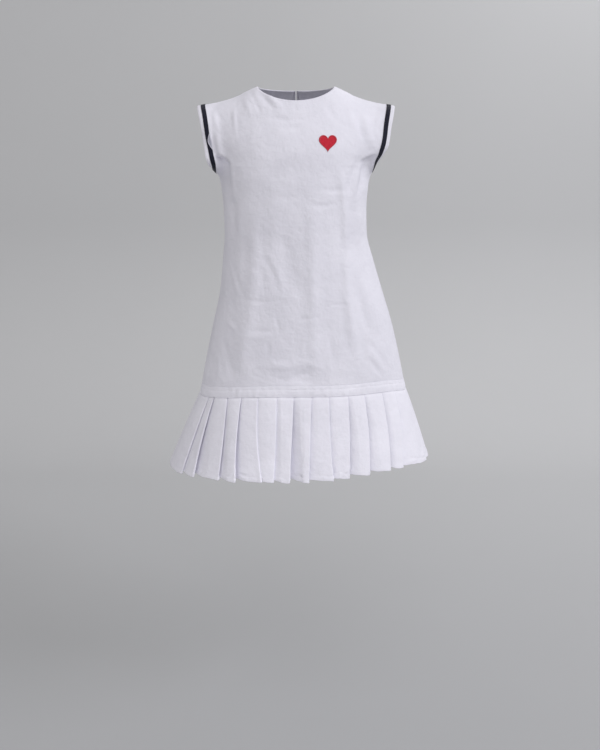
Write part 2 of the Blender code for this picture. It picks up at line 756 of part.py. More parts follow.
def neck_loop(lay, material):
    """The thread loop from the other edge of the slit, round the button's shank."""
    seat, out, side, rise = neck_frame(lay)
    bend = LOOP_INNER + LOOP_RADIUS
    start = -BUTTON_X - LOOP_ROOT
    path = [(mix(start, 0, i / 6), bend) for i in range(6)]
    for i in range(9):
        turn = math.pi * (0.5 - i / 8)
        path.append((bend * math.cos(turn), bend * math.sin(turn)))
    path += [(mix(0, start, (i + 1) / 6), -bend) for i in range(6)]
    centres = []
    for across, up in path:
        on_cloth = lay(seat + side * across + rise * up, 0.0)
        level = seat + side * across + rise * up
        height = max((on_cloth - level).dot(out), (seat - level).dot(out))
        centres.append(level + out * (height + LAY_GAP + LOOP_RADIUS))
    bm = bmesh.new()
    rings = []
    for i, centre in enumerate(centres):
        along = (centres[min(i + 1, len(centres) - 1)] - centres[max(i - 1, 0)]).normalized()
        across = along.cross(out).normalized()
        turns = [2 * math.pi * k / LOOP_SIDES for k in range(LOOP_SIDES)]
        rings.append([bm.verts.new(centre + (across * math.cos(turn) + out * math.sin(turn))
                                   * LOOP_RADIUS) for turn in turns])
    for before, after in zip(rings, rings[1:]):
        for k in range(LOOP_SIDES):
            bm.faces.new((before[k - 1], before[k], after[k], after[k - 1]))
    bm.faces.new(rings[0])
    bm.faces.new(rings[-1])
    return solid("neck_loop", bm, material)


# --- the dress --------------------------------------------------------------------------
for leftover in list(bpy.data.objects):
    bpy.data.objects.remove(leftover, do_unlink=True)

FIND_STATION = {}
FIND_STATION[band_foot], BAND_GIRTH = station_finder(band_foot)
FIND_STATION[hem_foot], HEM_GIRTH = station_finder(hem_foot)

white_cotton = cloth_material("white_cotton", (0.80, 0.80, 0.84), 0.85)
navy_ribbon = cloth_material("navy_ribbon", (0.012, 0.015, 0.040), 0.6)
red_felt = cloth_material("red_felt", (0.62, 0.015, 0.03), 0.8)
button_resin = cloth_material("button_resin", (0.80, 0.80, 0.82), 0.3)

grids = [panel("front", -1, 1, white_cotton)]
grids.append(panel("back_left", 1, 2, white_cotton))
grids.append(panel("back_right", 2, 3, white_cotton))
band("band_front", -1, 1, white_cotton)
band("band_back", 1, 3, white_cotton)
flounce("flounce_front", list(FRONT_PLEATS), white_cotton)
flounce("flounce_back", back_pleat_rows(), white_cotton)
lay_on_panels = layer(grids)
armhole_ribbon("ribbon_left", "plus_x", lay_on_panels, navy_ribbon)
armhole_ribbon("ribbon_right", "minus_x", lay_on_panels, navy_ribbon)
chest_heart(lay_on_panels, red_felt)
neck_button(lay_on_panels, button_resin)
neck_loop(lay_on_panels, white_cotton)
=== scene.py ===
# %% [markdown]
# # Nurse uniform dress
# A sleeveless white A-line shift for a nurse's uniform. It has a round neck with a facing, navy
# ribbon round the armholes, a narrow band at the hips and a knife-pleated flounce below it.
# The solids that a physics engine needs come first and stay where they are. This lesson puts
# real-looking cloth in their place: finer sheets on the same form, with creases, seams,
# stitches and woven finishes.

# %% Start from the fixed frame
import json
import math
from bisect import bisect_right
from collections import namedtuple

import bmesh
import bpy
import numpy as np
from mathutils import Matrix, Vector
from mathutils.bvhtree import BVHTree

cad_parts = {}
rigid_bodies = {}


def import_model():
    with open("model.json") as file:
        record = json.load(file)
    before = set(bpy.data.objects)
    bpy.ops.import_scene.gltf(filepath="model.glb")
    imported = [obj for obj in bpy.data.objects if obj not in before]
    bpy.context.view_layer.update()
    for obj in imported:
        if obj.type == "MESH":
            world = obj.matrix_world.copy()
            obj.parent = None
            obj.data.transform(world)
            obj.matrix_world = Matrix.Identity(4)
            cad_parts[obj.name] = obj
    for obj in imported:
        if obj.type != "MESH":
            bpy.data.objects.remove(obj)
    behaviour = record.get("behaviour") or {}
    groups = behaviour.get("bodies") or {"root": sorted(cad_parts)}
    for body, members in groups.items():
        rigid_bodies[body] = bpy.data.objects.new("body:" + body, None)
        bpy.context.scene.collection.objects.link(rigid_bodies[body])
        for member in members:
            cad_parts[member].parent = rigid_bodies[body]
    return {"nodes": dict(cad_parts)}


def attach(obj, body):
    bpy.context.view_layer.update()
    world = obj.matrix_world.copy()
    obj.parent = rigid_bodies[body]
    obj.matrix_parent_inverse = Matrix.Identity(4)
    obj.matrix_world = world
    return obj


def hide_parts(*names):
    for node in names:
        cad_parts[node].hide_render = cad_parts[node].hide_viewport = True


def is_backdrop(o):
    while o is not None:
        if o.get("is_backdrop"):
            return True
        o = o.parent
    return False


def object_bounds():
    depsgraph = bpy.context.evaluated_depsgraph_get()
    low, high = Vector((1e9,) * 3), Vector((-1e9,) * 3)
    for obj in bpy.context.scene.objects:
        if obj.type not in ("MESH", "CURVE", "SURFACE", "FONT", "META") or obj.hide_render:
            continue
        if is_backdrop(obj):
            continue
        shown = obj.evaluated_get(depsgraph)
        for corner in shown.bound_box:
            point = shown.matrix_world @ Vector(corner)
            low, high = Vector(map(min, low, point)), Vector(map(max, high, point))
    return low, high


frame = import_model()
SOLID_BOX = [list(corner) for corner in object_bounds()]
MM = 0.001
UP = Vector((0, 0, 1))
print("solids:", ", ".join(sorted(frame["nodes"])))

# %% [markdown]
# ## Camera
# A dress is looked at from a few steps away and from a little above its middle. A long lens
# from 1.9 m keeps the hem from looking too wide. The lens is given by the number of pixels
# that one radian spans, which makes it easy to check where a point lands in the picture.

# %% Camera
IMAGE_HEIGHT = 750
PIXELS_PER_RADIAN = 872
SENSOR = 36.0
CAMERA_PLACE = (0.0085, -1.9, -0.126)
CAMERA_PITCH = -14.5
camera_data = bpy.data.cameras.new("camera")
camera_data.sensor_width = SENSOR
camera_data.lens = SENSOR * PIXELS_PER_RADIAN / IMAGE_HEIGHT
camera = bpy.data.objects.new("camera", camera_data)
camera.location = CAMERA_PLACE
camera.rotation_euler = (math.radians(90 + CAMERA_PITCH), 0, 0)
bpy.context.scene.collection.objects.link(camera)
bpy.context.scene.camera = camera
print("lens", round(camera_data.lens, 1), "mm")

# %% [markdown]
# ## Shader maths as plain Python
# A procedural finish is arithmetic on coordinates. Written node by node it is hard to read, so
# one small class wraps an output socket: adding or multiplying two wraps adds the Math node
# that does it. The second class holds a material and adds any other node by its type.

# %% Sockets that can be added and multiplied
class Wire:
    """One output of a shader node, or a plain number next to one."""

    def __init__(self, finish, socket):
        self.finish = finish
        self.socket = socket

    def maths(self, operation, *others):
        return self.finish.node("ShaderNodeMath", {"operation": operation}, [self, *others])

    def __add__(self, other):
        return self.maths("ADD", other)

    def __sub__(self, other):
        return self.maths("SUBTRACT", other)

    def __mul__(self, other):
        return self.maths("MULTIPLY", other)

    def __rsub__(self, other):
        return self.finish.node("ShaderNodeMath", {"operation": "SUBTRACT"}, [other, self])

    __radd__ = __add__
    __rmul__ = __mul__

    def step(self, low, high):
        """0 below low, 1 above high, smooth in between."""
        return self.finish.node("ShaderNodeMapRange", {"interpolation_type": "SMOOTHSTEP"},
                                {"Value": self, "From Min": low, "From Max": high})


class Finish:
    """A material whose surface shader starts from plain numbers."""

    def __init__(self, name, **numbers):
        self.material = bpy.data.materials.new(name)
        self.material.use_nodes = True
        self.tree = self.material.node_tree
        self.shader = self.tree.nodes["Principled BSDF"]
        for socket, value in numbers.items():
            self.shader.inputs[socket.replace("_", " ")].default_value = value

    def node(self, kind, settings=None, inputs=(), output=0):
        made = self.tree.nodes.new(kind)
        for key, value in (settings or {}).items():
            setattr(made, key, value)
        for key, value in (inputs.items() if isinstance(inputs, dict) else enumerate(inputs)):
            if isinstance(value, Wire):
                self.tree.links.new(value.socket, made.inputs[key])
            else:
                made.inputs[key].default_value = value
        return Wire(self, made.outputs[output])

    def axes(self, vector):
        """The three numbers of a vector."""
        parts = self.node("ShaderNodeSeparateXYZ", inputs=[vector])
        return [Wire(self, parts.socket.node.outputs[i]) for i in range(3)]

    def cloth_place(self):
        """Distance across and along the cloth, in metres, from the piece's own UV map."""
        return self.node("ShaderNodeUVMap", {"uv_map": "cloth"})

    def object_place(self):
        return self.node("ShaderNodeTexCoord", output="Object")

    def stretched(self, vector, scale):
        return self.node("ShaderNodeVectorMath", {"operation": "MULTIPLY"}, [vector, scale])

    def noise(self, vector, scale, detail=3.0, roughness=0.55):
        return self.node("ShaderNodeTexNoise", {"noise_dimensions": "3D"},
                         {"Vector": vector, "Scale": scale, "Detail": detail,
                          "Roughness": roughness})

    def blend(self, amount, one, other):
        """A colour between two colours."""
        return self.node("ShaderNodeMix", {"data_type": "RGBA"},
                         {0: amount, 6: one, 7: other}, output=2)

    def bump(self, height, distance, strength=1.0, under=None):
        inputs = {"Height": height, "Distance": distance, "Strength": strength}
        if under is not None:
            inputs["Normal"] = under
        return self.node("ShaderNodeBump", inputs=inputs)

    def connect(self, **links):
        for socket, wire in links.items():
            self.tree.links.new(wire.socket, self.shader.inputs[socket.replace("_", " ")])
        return self.material


print("shader helpers ready")

# %% [markdown]
# ## Reading a smooth curve from a few measurements
# A tailor's pattern gives a handful of measurements, and the cloth runs smoothly between them.
# A cubic curve that never overshoots its points does the same job here, so the side seams get
# no bulges that nobody cut. Lengths are in millimetres until a piece is finished.

# %% Small helpers for form
def mix(start, end, share):
    return start + (end - start) * share


def ease(share):
    """0 to 1, level at both ends."""
    share = min(max(share, 0.0), 1.0)
    return share * share * (3 - 2 * share)


def curve(table, key, column):
    """A function that runs smoothly, without overshoot, through two columns of a table."""
    rows = sorted((getattr(row, key), getattr(row, column)) for row in table)
    keys = [row[0] for row in rows]
    values = [row[1] for row in rows]
    steps = [after - before for before, after in zip(keys, keys[1:])]
    secants = [(after - before) / step for before, after, step in zip(values, values[1:], steps)]
    slopes = [secants[0]]
    for before, after in zip(secants, secants[1:]):
        slopes.append(0.0 if before * after <= 0 else 2 * before * after / (before + after))
    slopes.append(secants[-1])

    def value(at):
        at = min(max(at, keys[0]), keys[-1])
        i = min(bisect_right(keys, at) - 1, len(steps) - 1)
        t = (at - keys[i]) / steps[i]
        bend = slopes[i] * t * (1 - t) ** 2 - slopes[i + 1] * t * t * (1 - t)
        return mix(values[i], values[i + 1], ease(t)) + bend * steps[i]
    return value


print("halfway up a 0 to 1 curve:", ease(0.5))

# %% [markdown]
# ## The form of the dress as it is worn
# Worn cloth is neither a box nor a tube. Seen from above, each level is a rounded oblong, with
# the front a little fuller than the back. The tables give its width and depth at each height,
# the shoulder line, and where the armholes cut in. A point on the cloth is named by a station
# (0 centre front, 1 the wearer's left side, 2 centre back, -1 or 3 the right side) and a level
# (0 the neckline and shoulders, 1 the underarm, 2 the lower edge).

# %% Measurements of the form
FRONT, BACK = "front", "back"
LEFT, RIGHT = "plus_x", "minus_x"
SIDES = (("left", LEFT), ("right", RIGHT))
NECK_HALF_WIDTH = 79.0
NECK_FRONT_DROP = 30.0
NECK_BACK_DROP = 5.0
NECK_ROUNDNESS = 0.7
NECK_SHARE = 1 / 3
SHOULDER_ROLL = 165.0
ShoulderRow = namedtuple("ShoulderRow", "reach height")
SHOULDER = [ShoulderRow(*row) for row in (
    (0, 12), (40, 9), (79, 0), (106, -11.5), (122, -19), (150, -28), (184, -35), (205, -38))]
ArmholeRow = namedtuple("ArmholeRow", "height plus_x minus_x")
ARMHOLE = [ArmholeRow(*row) for row in (
    (-38, 205, 205), (-60, 200, 199), (-80, 196, 195), (-117, 190.2, 188), (-135, 180.5, 181),
    (-146, 171.1, 174.7), (-158, 163, 168))]
SHOULDER_TIP = ARMHOLE[0].height
UNDERARM = ARMHOLE[-1].height
TIP_MARGIN = 0.5
ARMHOLE_HALF_DEPTH = 52.0
MOST_FULL = 0.95
ARMHOLE_SQUARE = {LEFT: 2.0, RIGHT: 3.4}
FlareRow = namedtuple("FlareRow", "forward height rise sideways")
FLARE = {LEFT: FlareRow(8, -126, 20, 5), RIGHT: FlareRow(22, -150, 30, 10)}
FLARE_REACH = 12.0
SIDE_RISE = 24.0
SIDE_FALL = 12.0
FLARE_SEAM = 30.0
BACK_FLARE = 0.6
SAG = {LEFT: 0.0, RIGHT: 4.0}
SAG_SPREAD = 32.0
CHEST_BLEND = 42.0
COLUMN_BLEND = 0.4
BodyRow = namedtuple("BodyRow", "height plus_x minus_x front back square")
BODY = [BodyRow(*row) for row in (
    (0, 225, 225, 96, 104, 2.3), (-40, 221, 221, 100, 107, 2.3),
    (-60, 216, 215, 102.5, 107.5, 2.31), (-80, 211, 210, 106, 108, 2.33),
    (-100, 205, 203, 109, 108, 2.35), (-117, 192, 192, 111.5, 107.5, 2.36),
    (-135, 176, 179, 114, 107, 2.38), (-146, 167.5, 172, 115, 106.5, 2.4),
    (-158, 163, 168, 116, 106, 2.4),
    (-173.5, 159.5, 164.5, 118, 105, 2.4), (-190, 155, 161, 120, 104, 2.4),
    (-242, 150, 155, 122, 103, 2.4), (-299, 152, 154, 123, 105, 2.35),
    (-357, 167, 159, 126, 111, 2.3), (-421, 187, 166, 130, 119, 2.3),
    (-501, 212, 184, 135, 128, 2.3), (-588, 233, 203, 141, 136, 2.3),
    (-660, 248, 216, 146, 142, 2.3))]
RingRow = namedtuple("RingRow", "front plus_x back minus_x")
BAND_FOOT = RingRow(-628, -643, -650, -652)
BAND_HEIGHT = 24.0
BAND_LIFT = 8.0
BAND_LIFT_LEAN = 1.3
shoulder_height = curve(SHOULDER, "reach", "height")
armhole_reach = {side: curve(ARMHOLE, "height", side) for side in (LEFT, RIGHT)}
body_reach = {side: curve(BODY, "height", side) for side in (LEFT, RIGHT)}
body_depth = {face: curve(BODY, "height", face) for face in (FRONT, BACK)}
body_square = curve(BODY, "height", "square")
print("shoulder tips", 2 * ARMHOLE[0].plus_x, "mm apart")


# %% A point of the smooth form
def quarter(station):
    """The face, the side and the 0..1 distance from the centre line of a station."""
    station = (station + 1) % 4 - 1
    if station <= 1:
        return FRONT, LEFT if station >= 0 else RIGHT, abs(station)
    return BACK, LEFT if station <= 2 else RIGHT, abs(station - 2)


def point_at(face, side, reach, depth, height):
    """A point at distances from the dress's middle, on the named face and side."""
    return Vector((reach if side == LEFT else -reach, -depth if face == FRONT else depth, height))


def around(row, station):
    """A ring's value at a station, eased from its four named values."""
    face, side, share = quarter(station)
    return mix(getattr(row, side), getattr(row, face), math.cos(share * math.pi / 2) ** 2)


def band_foot_height(station):
    """Height of the band's foot, which is drawn up a little on the wearer's left front."""
    face, side, share = quarter(station)
    lift = BAND_LIFT * math.sin(math.pi * share ** BAND_LIFT_LEAN) ** 2
    return around(BAND_FOOT, station) + lift * (face == FRONT and side == LEFT)


def shoulder_roll(reach, height):
    """How far the cloth has turned over from level, 0 on the shoulder, to upright, 1."""
    drop = min(max((shoulder_height(reach) - height) / SHOULDER_ROLL, 0.0), 1.0)
    return math.sqrt(1 - (1 - drop) ** 2)


def armhole_half_gap(side, height):
    middle = (SHOULDER_TIP + UNDERARM) / 2
    away = abs(height - middle) / ((SHOULDER_TIP - UNDERARM) / 2)
    square = ARMHOLE_SQUARE[side] if height < middle else 2
    return ARMHOLE_HALF_DEPTH * max(0.0, 1 - away ** square) ** (1 / square)


def section_edge(face, side, height):
    """Reach of the section at a height, and the angle at which the cloth ends on it."""
    if height <= UNDERARM:
        return body_reach[side](height), math.pi / 2
    height = min(height, SHOULDER_TIP - TIP_MARGIN)
    edge = armhole_reach[side](height)
    square = body_square(height)
    depth = body_depth[face](height) * shoulder_roll(edge, height)
    fullness = min(armhole_half_gap(side, height) / depth, MOST_FULL)
    angle = math.acos(fullness ** (square / 2))
    return edge / math.sin(angle) ** (2 / square), angle


def place(face, side, reach, height):
    """The point of the cloth at a distance from the centre line and a height."""
    width = section_edge(face, side, height)[0]
    square = body_square(height)
    edge = armhole_reach[side](height)
    if height > UNDERARM:
        width = mix(width, body_reach[side](height), ease((edge - reach) / CHEST_BLEND))
    fullness = max(0.0, 1 - min(reach / width, 1.0) ** square) ** (1 / square)
    depth = body_depth[face](height) * fullness * shoulder_roll(reach, height)
    flare = FLARE[side]
    near = math.exp(-max(edge - reach, 0) / FLARE_REACH)
    push = near * flare.forward * math.exp(-((height - flare.height) / flare.rise) ** 2)
    depth += push * (1 if face == FRONT else BACK_FLARE) * ease(depth / FLARE_SEAM)
    sag = ((edge - reach) ** 2 + (height - UNDERARM) ** 2) / SAG_SPREAD ** 2
    level = (height - UNDERARM) / (SIDE_RISE if height > UNDERARM else SIDE_FALL)
    reach += near * flare.sideways * math.exp(-level ** 2)
    return point_at(face, side, reach, depth, height - SAG[side] * math.exp(-sag))


def section_point(station, height):
    face, side, share = quarter(station)
    reach = body_reach[side](height) * math.sin(share * math.pi / 2) ** (2 / body_square(height))
    return place(face, side, reach, height)


def top_edge(face, share):
    """Reach and height of a panel's upper edge: the neckline, then the shoulder seam."""
    if share <= NECK_SHARE:
        reach = NECK_HALF_WIDTH * share / NECK_SHARE
        drop = NECK_FRONT_DROP if face == FRONT else NECK_BACK_DROP
        return reach, -drop * max(0.0, 1 - (reach / NECK_HALF_WIDTH) ** 2) ** NECK_ROUNDNESS
    reach = mix(NECK_HALF_WIDTH, ARMHOLE[0].plus_x, (share - NECK_SHARE) / (1 - NECK_SHARE))
    return reach, shoulder_height(reach)


def cloth_point(station, level):
    """A point of the smooth cloth, before any fold."""
    face, side, share = quarter(station)
    if level >= 1:
        foot = band_foot_height(station) + BAND_HEIGHT
        return section_point(station, mix(UNDERARM, foot, level - 1))
    down = (1 - math.cos(math.pi * level)) / 2
    top_reach, top_height = top_edge(face, share)
    edge_height = mix(SHOULDER_TIP, UNDERARM, down)
    angle = section_edge(face, side, edge_height)[1]
    angle = mix(math.pi / 2, angle, ease((1 - level) / COLUMN_BLEND))
    turned = (math.sin(share * angle) / math.sin(angle)) ** (2 / body_square(edge_height))
    reach = armhole_reach[side](edge_height) * mix(top_reach / ARMHOLE[0].plus_x, turned, down)
    return place(face, side, reach, mix(top_height, UNDERARM, down))


print("centre front at the hips:", [round(c) for c in cloth_point(0, 1.8)])

# %% [markdown]
# ## Folds and creases
# Real cloth never hangs flat. This dress has four kinds of relief, and each one is a line or a
# patch with its own depth and width: broad folds that fall from the bust and the shoulder
# blades, pulls that run from the armholes, sharp lines left by folding the dress for storage,
# and hollows where the cloth sinks in below the arms. Uneven lengths and depths make them
# read as cloth, where a repeated wave would read as corrugated iron.

# %% Broad folds and hollows
Fold = namedtuple("Fold", "face ends relief width")
BROAD_FOLDS = [Fold(*row) for row in (
    (FRONT, ((-148, -112), (-122, -270)), -4.0, 17),
    (FRONT, ((142, -108), (122, -258)), -4.0, 17),
    (FRONT, ((-120, -330), (-150, -618)), 3.5, 26),
    (FRONT, ((138, -350), (190, -618)), 3.5, 26),
    (FRONT, ((6, -300), (-12, -420)), -3.0, 34),
    (FRONT, ((30, -560), (10, -618)), -3.0, 30),
    (BACK, ((-140, -95), (-118, -280)), -4.0, 18),
    (BACK, ((138, -98), (112, -270)), -4.0, 18),
    (BACK, ((-95, -240), (-140, -618)), 4.0, 28),
    (BACK, ((60, -300), (85, -618)), -4.0, 26),
    (BACK, ((128, -330), (172, -618)), 4.0, 26))]
Hollow = namedtuple("Hollow", "face edge low high soft_in soft_low soft_high depth slant")
HOLLOWS = [Hollow(*row) for row in (
    (FRONT, -127, -240, -150, 27, 54, 10, 15.0, 0.5),
    (FRONT, 127, -214, -147, 21, 56, 10, 9.0, 0.4),
    (FRONT, -110, -622, -215, 28, 60, 24, 5.0, 0.0),
    (BACK, -132, -250, -146, 16, 80, 10, 5.0, 0.3),
    (BACK, 130, -240, -144, 16, 70, 10, 5.0, 0.3))]
print(len(BROAD_FOLDS), "broad folds,", len(HOLLOWS), "hollows")

# %% [markdown]
# ## Creases, one by one
# Each crease has two or three points of the line it follows, in millimetres across and up,
# then how far it stands out, or sinks in where the number is negative, and half its width.
# They are listed one by one, because creases that a formula spreads evenly look printed on.

# %% Creases of the front
FRONT_CREASES = [Fold(FRONT, *row) for row in (
    (((-106, -428), (-70, -429), (-28, -426)), -1.0, 3.4),
    (((70, -434), (88, -437), (106, -436)), -1.4, 3.0),
    (((-98, -489), (-66, -491), (-40, -487)), -1.1, 3.5),
    (((-118, -503), (-80, -503), (-50, -497)), 1.1, 6.5),
    (((-133, -359), (-118, -398), (-104, -430)), -1.6, 6.5),
    (((-146, -346), (-131, -386), (-117, -424)), 1.2, 6.0),
    (((-151, -474), (-135, -486), (-122, -498)), 2.1, 4.5),
    (((-46, -592), (0, -587), (40, -565)), -2.0, 9.0),
    (((-22, -556), (-4, -570), (12, -588)), -1.0, 12.0),
    (((-80, -559), (-20, -563), (36, -553)), 2.5, 10.0),
    (((-72, -332), (-50, -366), (-36, -418)), -0.8, 5.5),
    (((-60, -330), (-38, -366), (-24, -412)), 0.9, 6.0),
    (((127, -380), (136, -440), (151, -500)), -2.8, 7.5),
    (((146, -395), (158, -448), (173, -502)), 1.6, 10.0),
    (((147, -512), (172, -545), (199, -584)), -1.8, 6.0),
    (((150, -532), (171, -562), (192, -594)), 1.5, 6.5),
    (((152, -548), (172, -580), (192, -608)), -1.5, 5.5),
    (((160, -578), (178, -598), (196, -616)), 1.4, 5.0),
    (((-30, -296), (-18, -350), (-6, -402)), -1.8, 14.0),
    (((4, -300), (10, -350), (24, -396)), 1.2, 12.0),
    (((132, -141), (117, -172), (104, -214)), -2.8, 8.0),
    (((142, -150), (126, -190), (112, -246)), 2.6, 8.0),
    (((153, -148), (138, -184), (124, -224)), -2.8, 7.0),
    (((87, -160), (98, -240), (103, -330)), 4.2, 8.0),
    (((103, -280), (106, -400), (119, -540)), 3.8, 10.0),
    (((112, -420), (122, -510), (132, -600)), 2.4, 11.0),
    (((122, -165), (130, -250), (131, -330)), 2.8, 8.0),
    (((-84, -236), (-88, -400), (-116, -580)), 4.4, 15.0),
    (((33, -220), (35, -410), (43, -620)), 3.8, 14.0),
    (((48, -203), (74, -206), (102, -203)), -1.7, 4.5),
    (((18, -230), (52, -236), (84, -231)), -1.5, 5.5),
    (((140, -58), (146, -90), (159, -124)), 2.8, 6.5),
    (((172, -54), (164, -80), (157, -108)), 1.0, 5.5),
    (((126, -60), (131, -88), (138, -116)), -2.2, 5.5),
    (((-74, -16), (-57, -34), (-40, -52)), -2.0, 4.5),
    (((-58, -20), (-43, -33), (-24, -47)), 2.0, 4.5),
    (((-66, -62), (-14, -69), (42, -61)), -1.9, 4.0),
    (((-30, -80), (-8, -84), (12, -79)), -1.6, 4.5),
    (((-171, -92), (-167.5, -118), (-160, -148)), -5.0, 4.0),
    (((-160, -92), (-157, -118), (-150, -144)), 2.2, 5.5),
    (((-136, -134), (-133, -170), (-129, -232)), 2.8, 7.0),
    (((-94, -10), (-82, -32), (-66, -64)), -1.3, 4.5),
    (((-106, -22), (-96, -44), (-84, -76)), 1.2, 5.5),
    (((-48, -48), (-30, -58), (-4, -63)), 1.3, 3.5),
    (((-40, -92), (-22, -96), (2, -93)), 0.9, 6.0),
    (((62, -36), (74, -58), (92, -78)), -1.2, 6.0),
    (((104, -40), (112, -70), (124, -96)), 1.2, 7.0),
    (((0, -31), (1, -66)), -1.1, 2.4),
    (((-126, -42), (-124, -70), (-121, -104)), 1.5, 4.5),
    (((-168, -48), (-164, -68), (-158, -90)), 2.0, 5.5),
    (((-156, -58), (-146, -98), (-132, -138)), -1.2, 10.0),
    (((-156, -512), (-147, -550), (-134, -592)), -2.5, 8.0),
    (((-168, -556), (-166, -585), (-162, -612)), 1.8, 8.0),
    (((-125, -200), (-116, -250), (-120, -300)), 1.6, 9.0),
    (((-140, -205), (-134, -255), (-125, -305)), -1.8, 8.0),
    (((-98, -300), (-104, -355), (-100, -408)), -1.1, 9.0),
    (((-42, -448), (-37, -476), (-30, -500)), -1.3, 4.0),
    (((6, -461), (28, -464), (48, -458)), -1.3, 4.0),
    (((-58, -502), (-58, -528), (-63, -550)), -0.9, 4.0),
    (((86, -250), (92, -300), (99, -352)), -0.9, 10.0),
    (((-40, -180), (-44, -250), (-52, -330)), 1.3, 18.0),
    (((70, -467), (74, -520), (80, -578)), -1.2, 8.0),
    (((8, -476), (13, -518), (10, -552)), 0.9, 8.0))]
print(len(FRONT_CREASES), "creases on the front")

# %% Creases of the back
BACK_CREASES = [Fold(BACK, *row) for row in (
    (((-118, -240), (-60, -262), (-14, -256)), 2.2, 7.0),
    (((-112, -262), (-64, -280), (-20, -272)), -2.4, 7.0),
    (((112, -236), (64, -262), (20, -270)), 2.4, 7.5),
    (((118, -268), (78, -288), (30, -292)), -2.2, 7.0),
    (((-100, -300), (-92, -400), (-112, -520)), 3.4, 11.0),
    (((70, -330), (92, -430), (104, -560)), 3.4, 12.0),
    (((-24, -500), (-14, -560), (-20, -615)), 2.6, 11.0),
    (((60, -480), (66, -545), (60, -612)), -2.6, 11.0),
    (((-150, -470), (-120, -500), (-92, -508)), 2.0, 6.0),
    (((-118, -30), (-96, -66), (-84, -110)), 2.0, 7.0),
    (((112, -34), (96, -70), (88, -112)), -2.0, 7.0),
    (((-110, -428), (-40, -431), (34, -427)), -1.7, 3.5),
    (((-30, -255), (30, -258), (92, -254)), -1.5, 3.5),
    (((-96, -560), (-20, -566), (60, -561)), -2.0, 3.5),
    (((150, -120), (128, -165), (108, -215)), 4.2, 9.0),
    (((-152, -118), (-130, -160), (-106, -220)), 4.7, 9.0),
    (((138, -150), (118, -185), (98, -240)), -4.2, 9.0),
    (((-138, -152), (-116, -192), (-98, -236)), -3.8, 9.0),
    (((-70, -60), (-40, -90), (-12, -112)), 2.0, 9.0),
    (((74, -58), (48, -96), (14, -124)), -1.7, 9.0),
    (((-60, -300), (-72, -380), (-66, -470)), -3.3, 14.0),
    (((16, -330), (30, -430), (22, -540)), 3.2, 16.0),
    (((120, -420), (142, -500), (150, -590)), -3.8, 11.0),
    (((-128, -440), (-150, -520), (-160, -600)), 3.6, 11.0),
    (((-30, -540), (-44, -580), (-50, -618)), -2.7, 12.0))]
print(len(BACK_CREASES), "creases on the back")


# %% Reading the relief at many points at once
BEND_STEPS = 10
FAR = 1e9
FADE = 0.7
SLANT_REACH = 30
RIM = 17.0
RIM_SOFT = 8.0
BAND_SOFT = 12.0


def smooth_steps(values):
    values = np.clip(values, 0.0, 1.0)
    return values * values * (3 - 2 * values)


def bent_line(ends):
    """A line through two ends, or a bend through a third point between them."""
    if len(ends) == 2:
        return np.linspace(ends[0], ends[1], BEND_STEPS + 1)
    start, middle, end = (np.array(point, float) for point in ends)
    pull = 2 * middle - (start + end) / 2
    shares = np.linspace(0, 1, BEND_STEPS + 1)[:, None]
    return (1 - shares) ** 2 * start + 2 * shares * (1 - shares) * pull + shares ** 2 * end


def line_relief(fold, across, height):
    """One fold's height at points given by their distance across and their height."""
    line = bent_line(fold.ends)
    nearest = np.full(across.shape, FAR)
    share_at = np.zeros(across.shape)
    for i, (start, end) in enumerate(zip(line, line[1:])):
        run = end - start
        along = ((across - start[0]) * run[0] + (height - start[1]) * run[1]) / (run @ run)
        held = np.clip(along, 0, 1)
        away = np.hypot(across - start[0] - held * run[0], height - start[1] - held * run[1])
        closer = away < nearest
        nearest = np.where(closer, away, nearest)
        share_at = np.where(closer, (i + held) / (len(line) - 1), share_at)
    fade = np.sin(np.pi * np.clip(share_at, 0.001, 0.999)) ** FADE
    return fold.relief * fade * np.exp(-(nearest / fold.width) ** 2)


def hollow_relief(hollow, across, height):
    """A hollow from its edge out to the side, with a top that slants up for 30 mm."""
    inner = (hollow.edge - across) if hollow.edge < 0 else (across - hollow.edge)
    top = hollow.high + hollow.slant * np.clip(inner, 0, SLANT_REACH)
    depth = smooth_steps(inner / hollow.soft_in)
    depth = depth * smooth_steps((height - hollow.low) / hollow.soft_low)
    return -hollow.depth * depth * smooth_steps((top - height) / hollow.soft_high)


def drape(face, points, shares, from_armhole):
    """Relief of one face of the dress at its points, none at the side seams."""
    across, height = points[..., 0], points[..., 2]
    inside_rim = smooth_steps((from_armhole - RIM) / RIM_SOFT)
    total = np.zeros(across.shape)
    for fold in BROAD_FOLDS + FRONT_CREASES + BACK_CREASES:
        if fold.face == face:
            total += line_relief(fold, across, height)
    for hollow in HOLLOWS:
        if hollow.face == face:
            total += hollow_relief(hollow, across, height) * inside_rim
    foot = BAND_FOOT.front + BAND_HEIGHT
    return total * (1 - shares ** 8) * smooth_steps((height - foot) / BAND_SOFT + 0.15)


sample = line_relief(FRONT_CREASES[0], np.array([-64.0]), np.array([-430.0]))
print("relief on a crease:", round(float(sample[0]), 2), "mm")

# %% [markdown]
# ## The white cloth's finish
# The dress is plain-weave poly-cotton, a crisp matt white with threads about 0.4 mm apart. Each
# thread is a little uneven, so from near by the cloth has fine slubs along both directions,
# and from further away it is never one flat white. The weave follows the cloth's own UV map,
# which is measured in metres along the threads, so the scale is right on every piece. Where
# the cloth lies double, as in the band and the pleats, less light gets through it and it
# looks a little whiter. Its colour there is also painted light: the lighter copy of the cotton
# brightens the band and the flounce as if more light fell on them.

# %% White poly-cotton
THREAD_PITCH = 0.0004
DULL_COTTON = (0.745, 0.737, 0.81, 1)
CLEAR_COTTON = (0.815, 0.806, 0.88, 1)
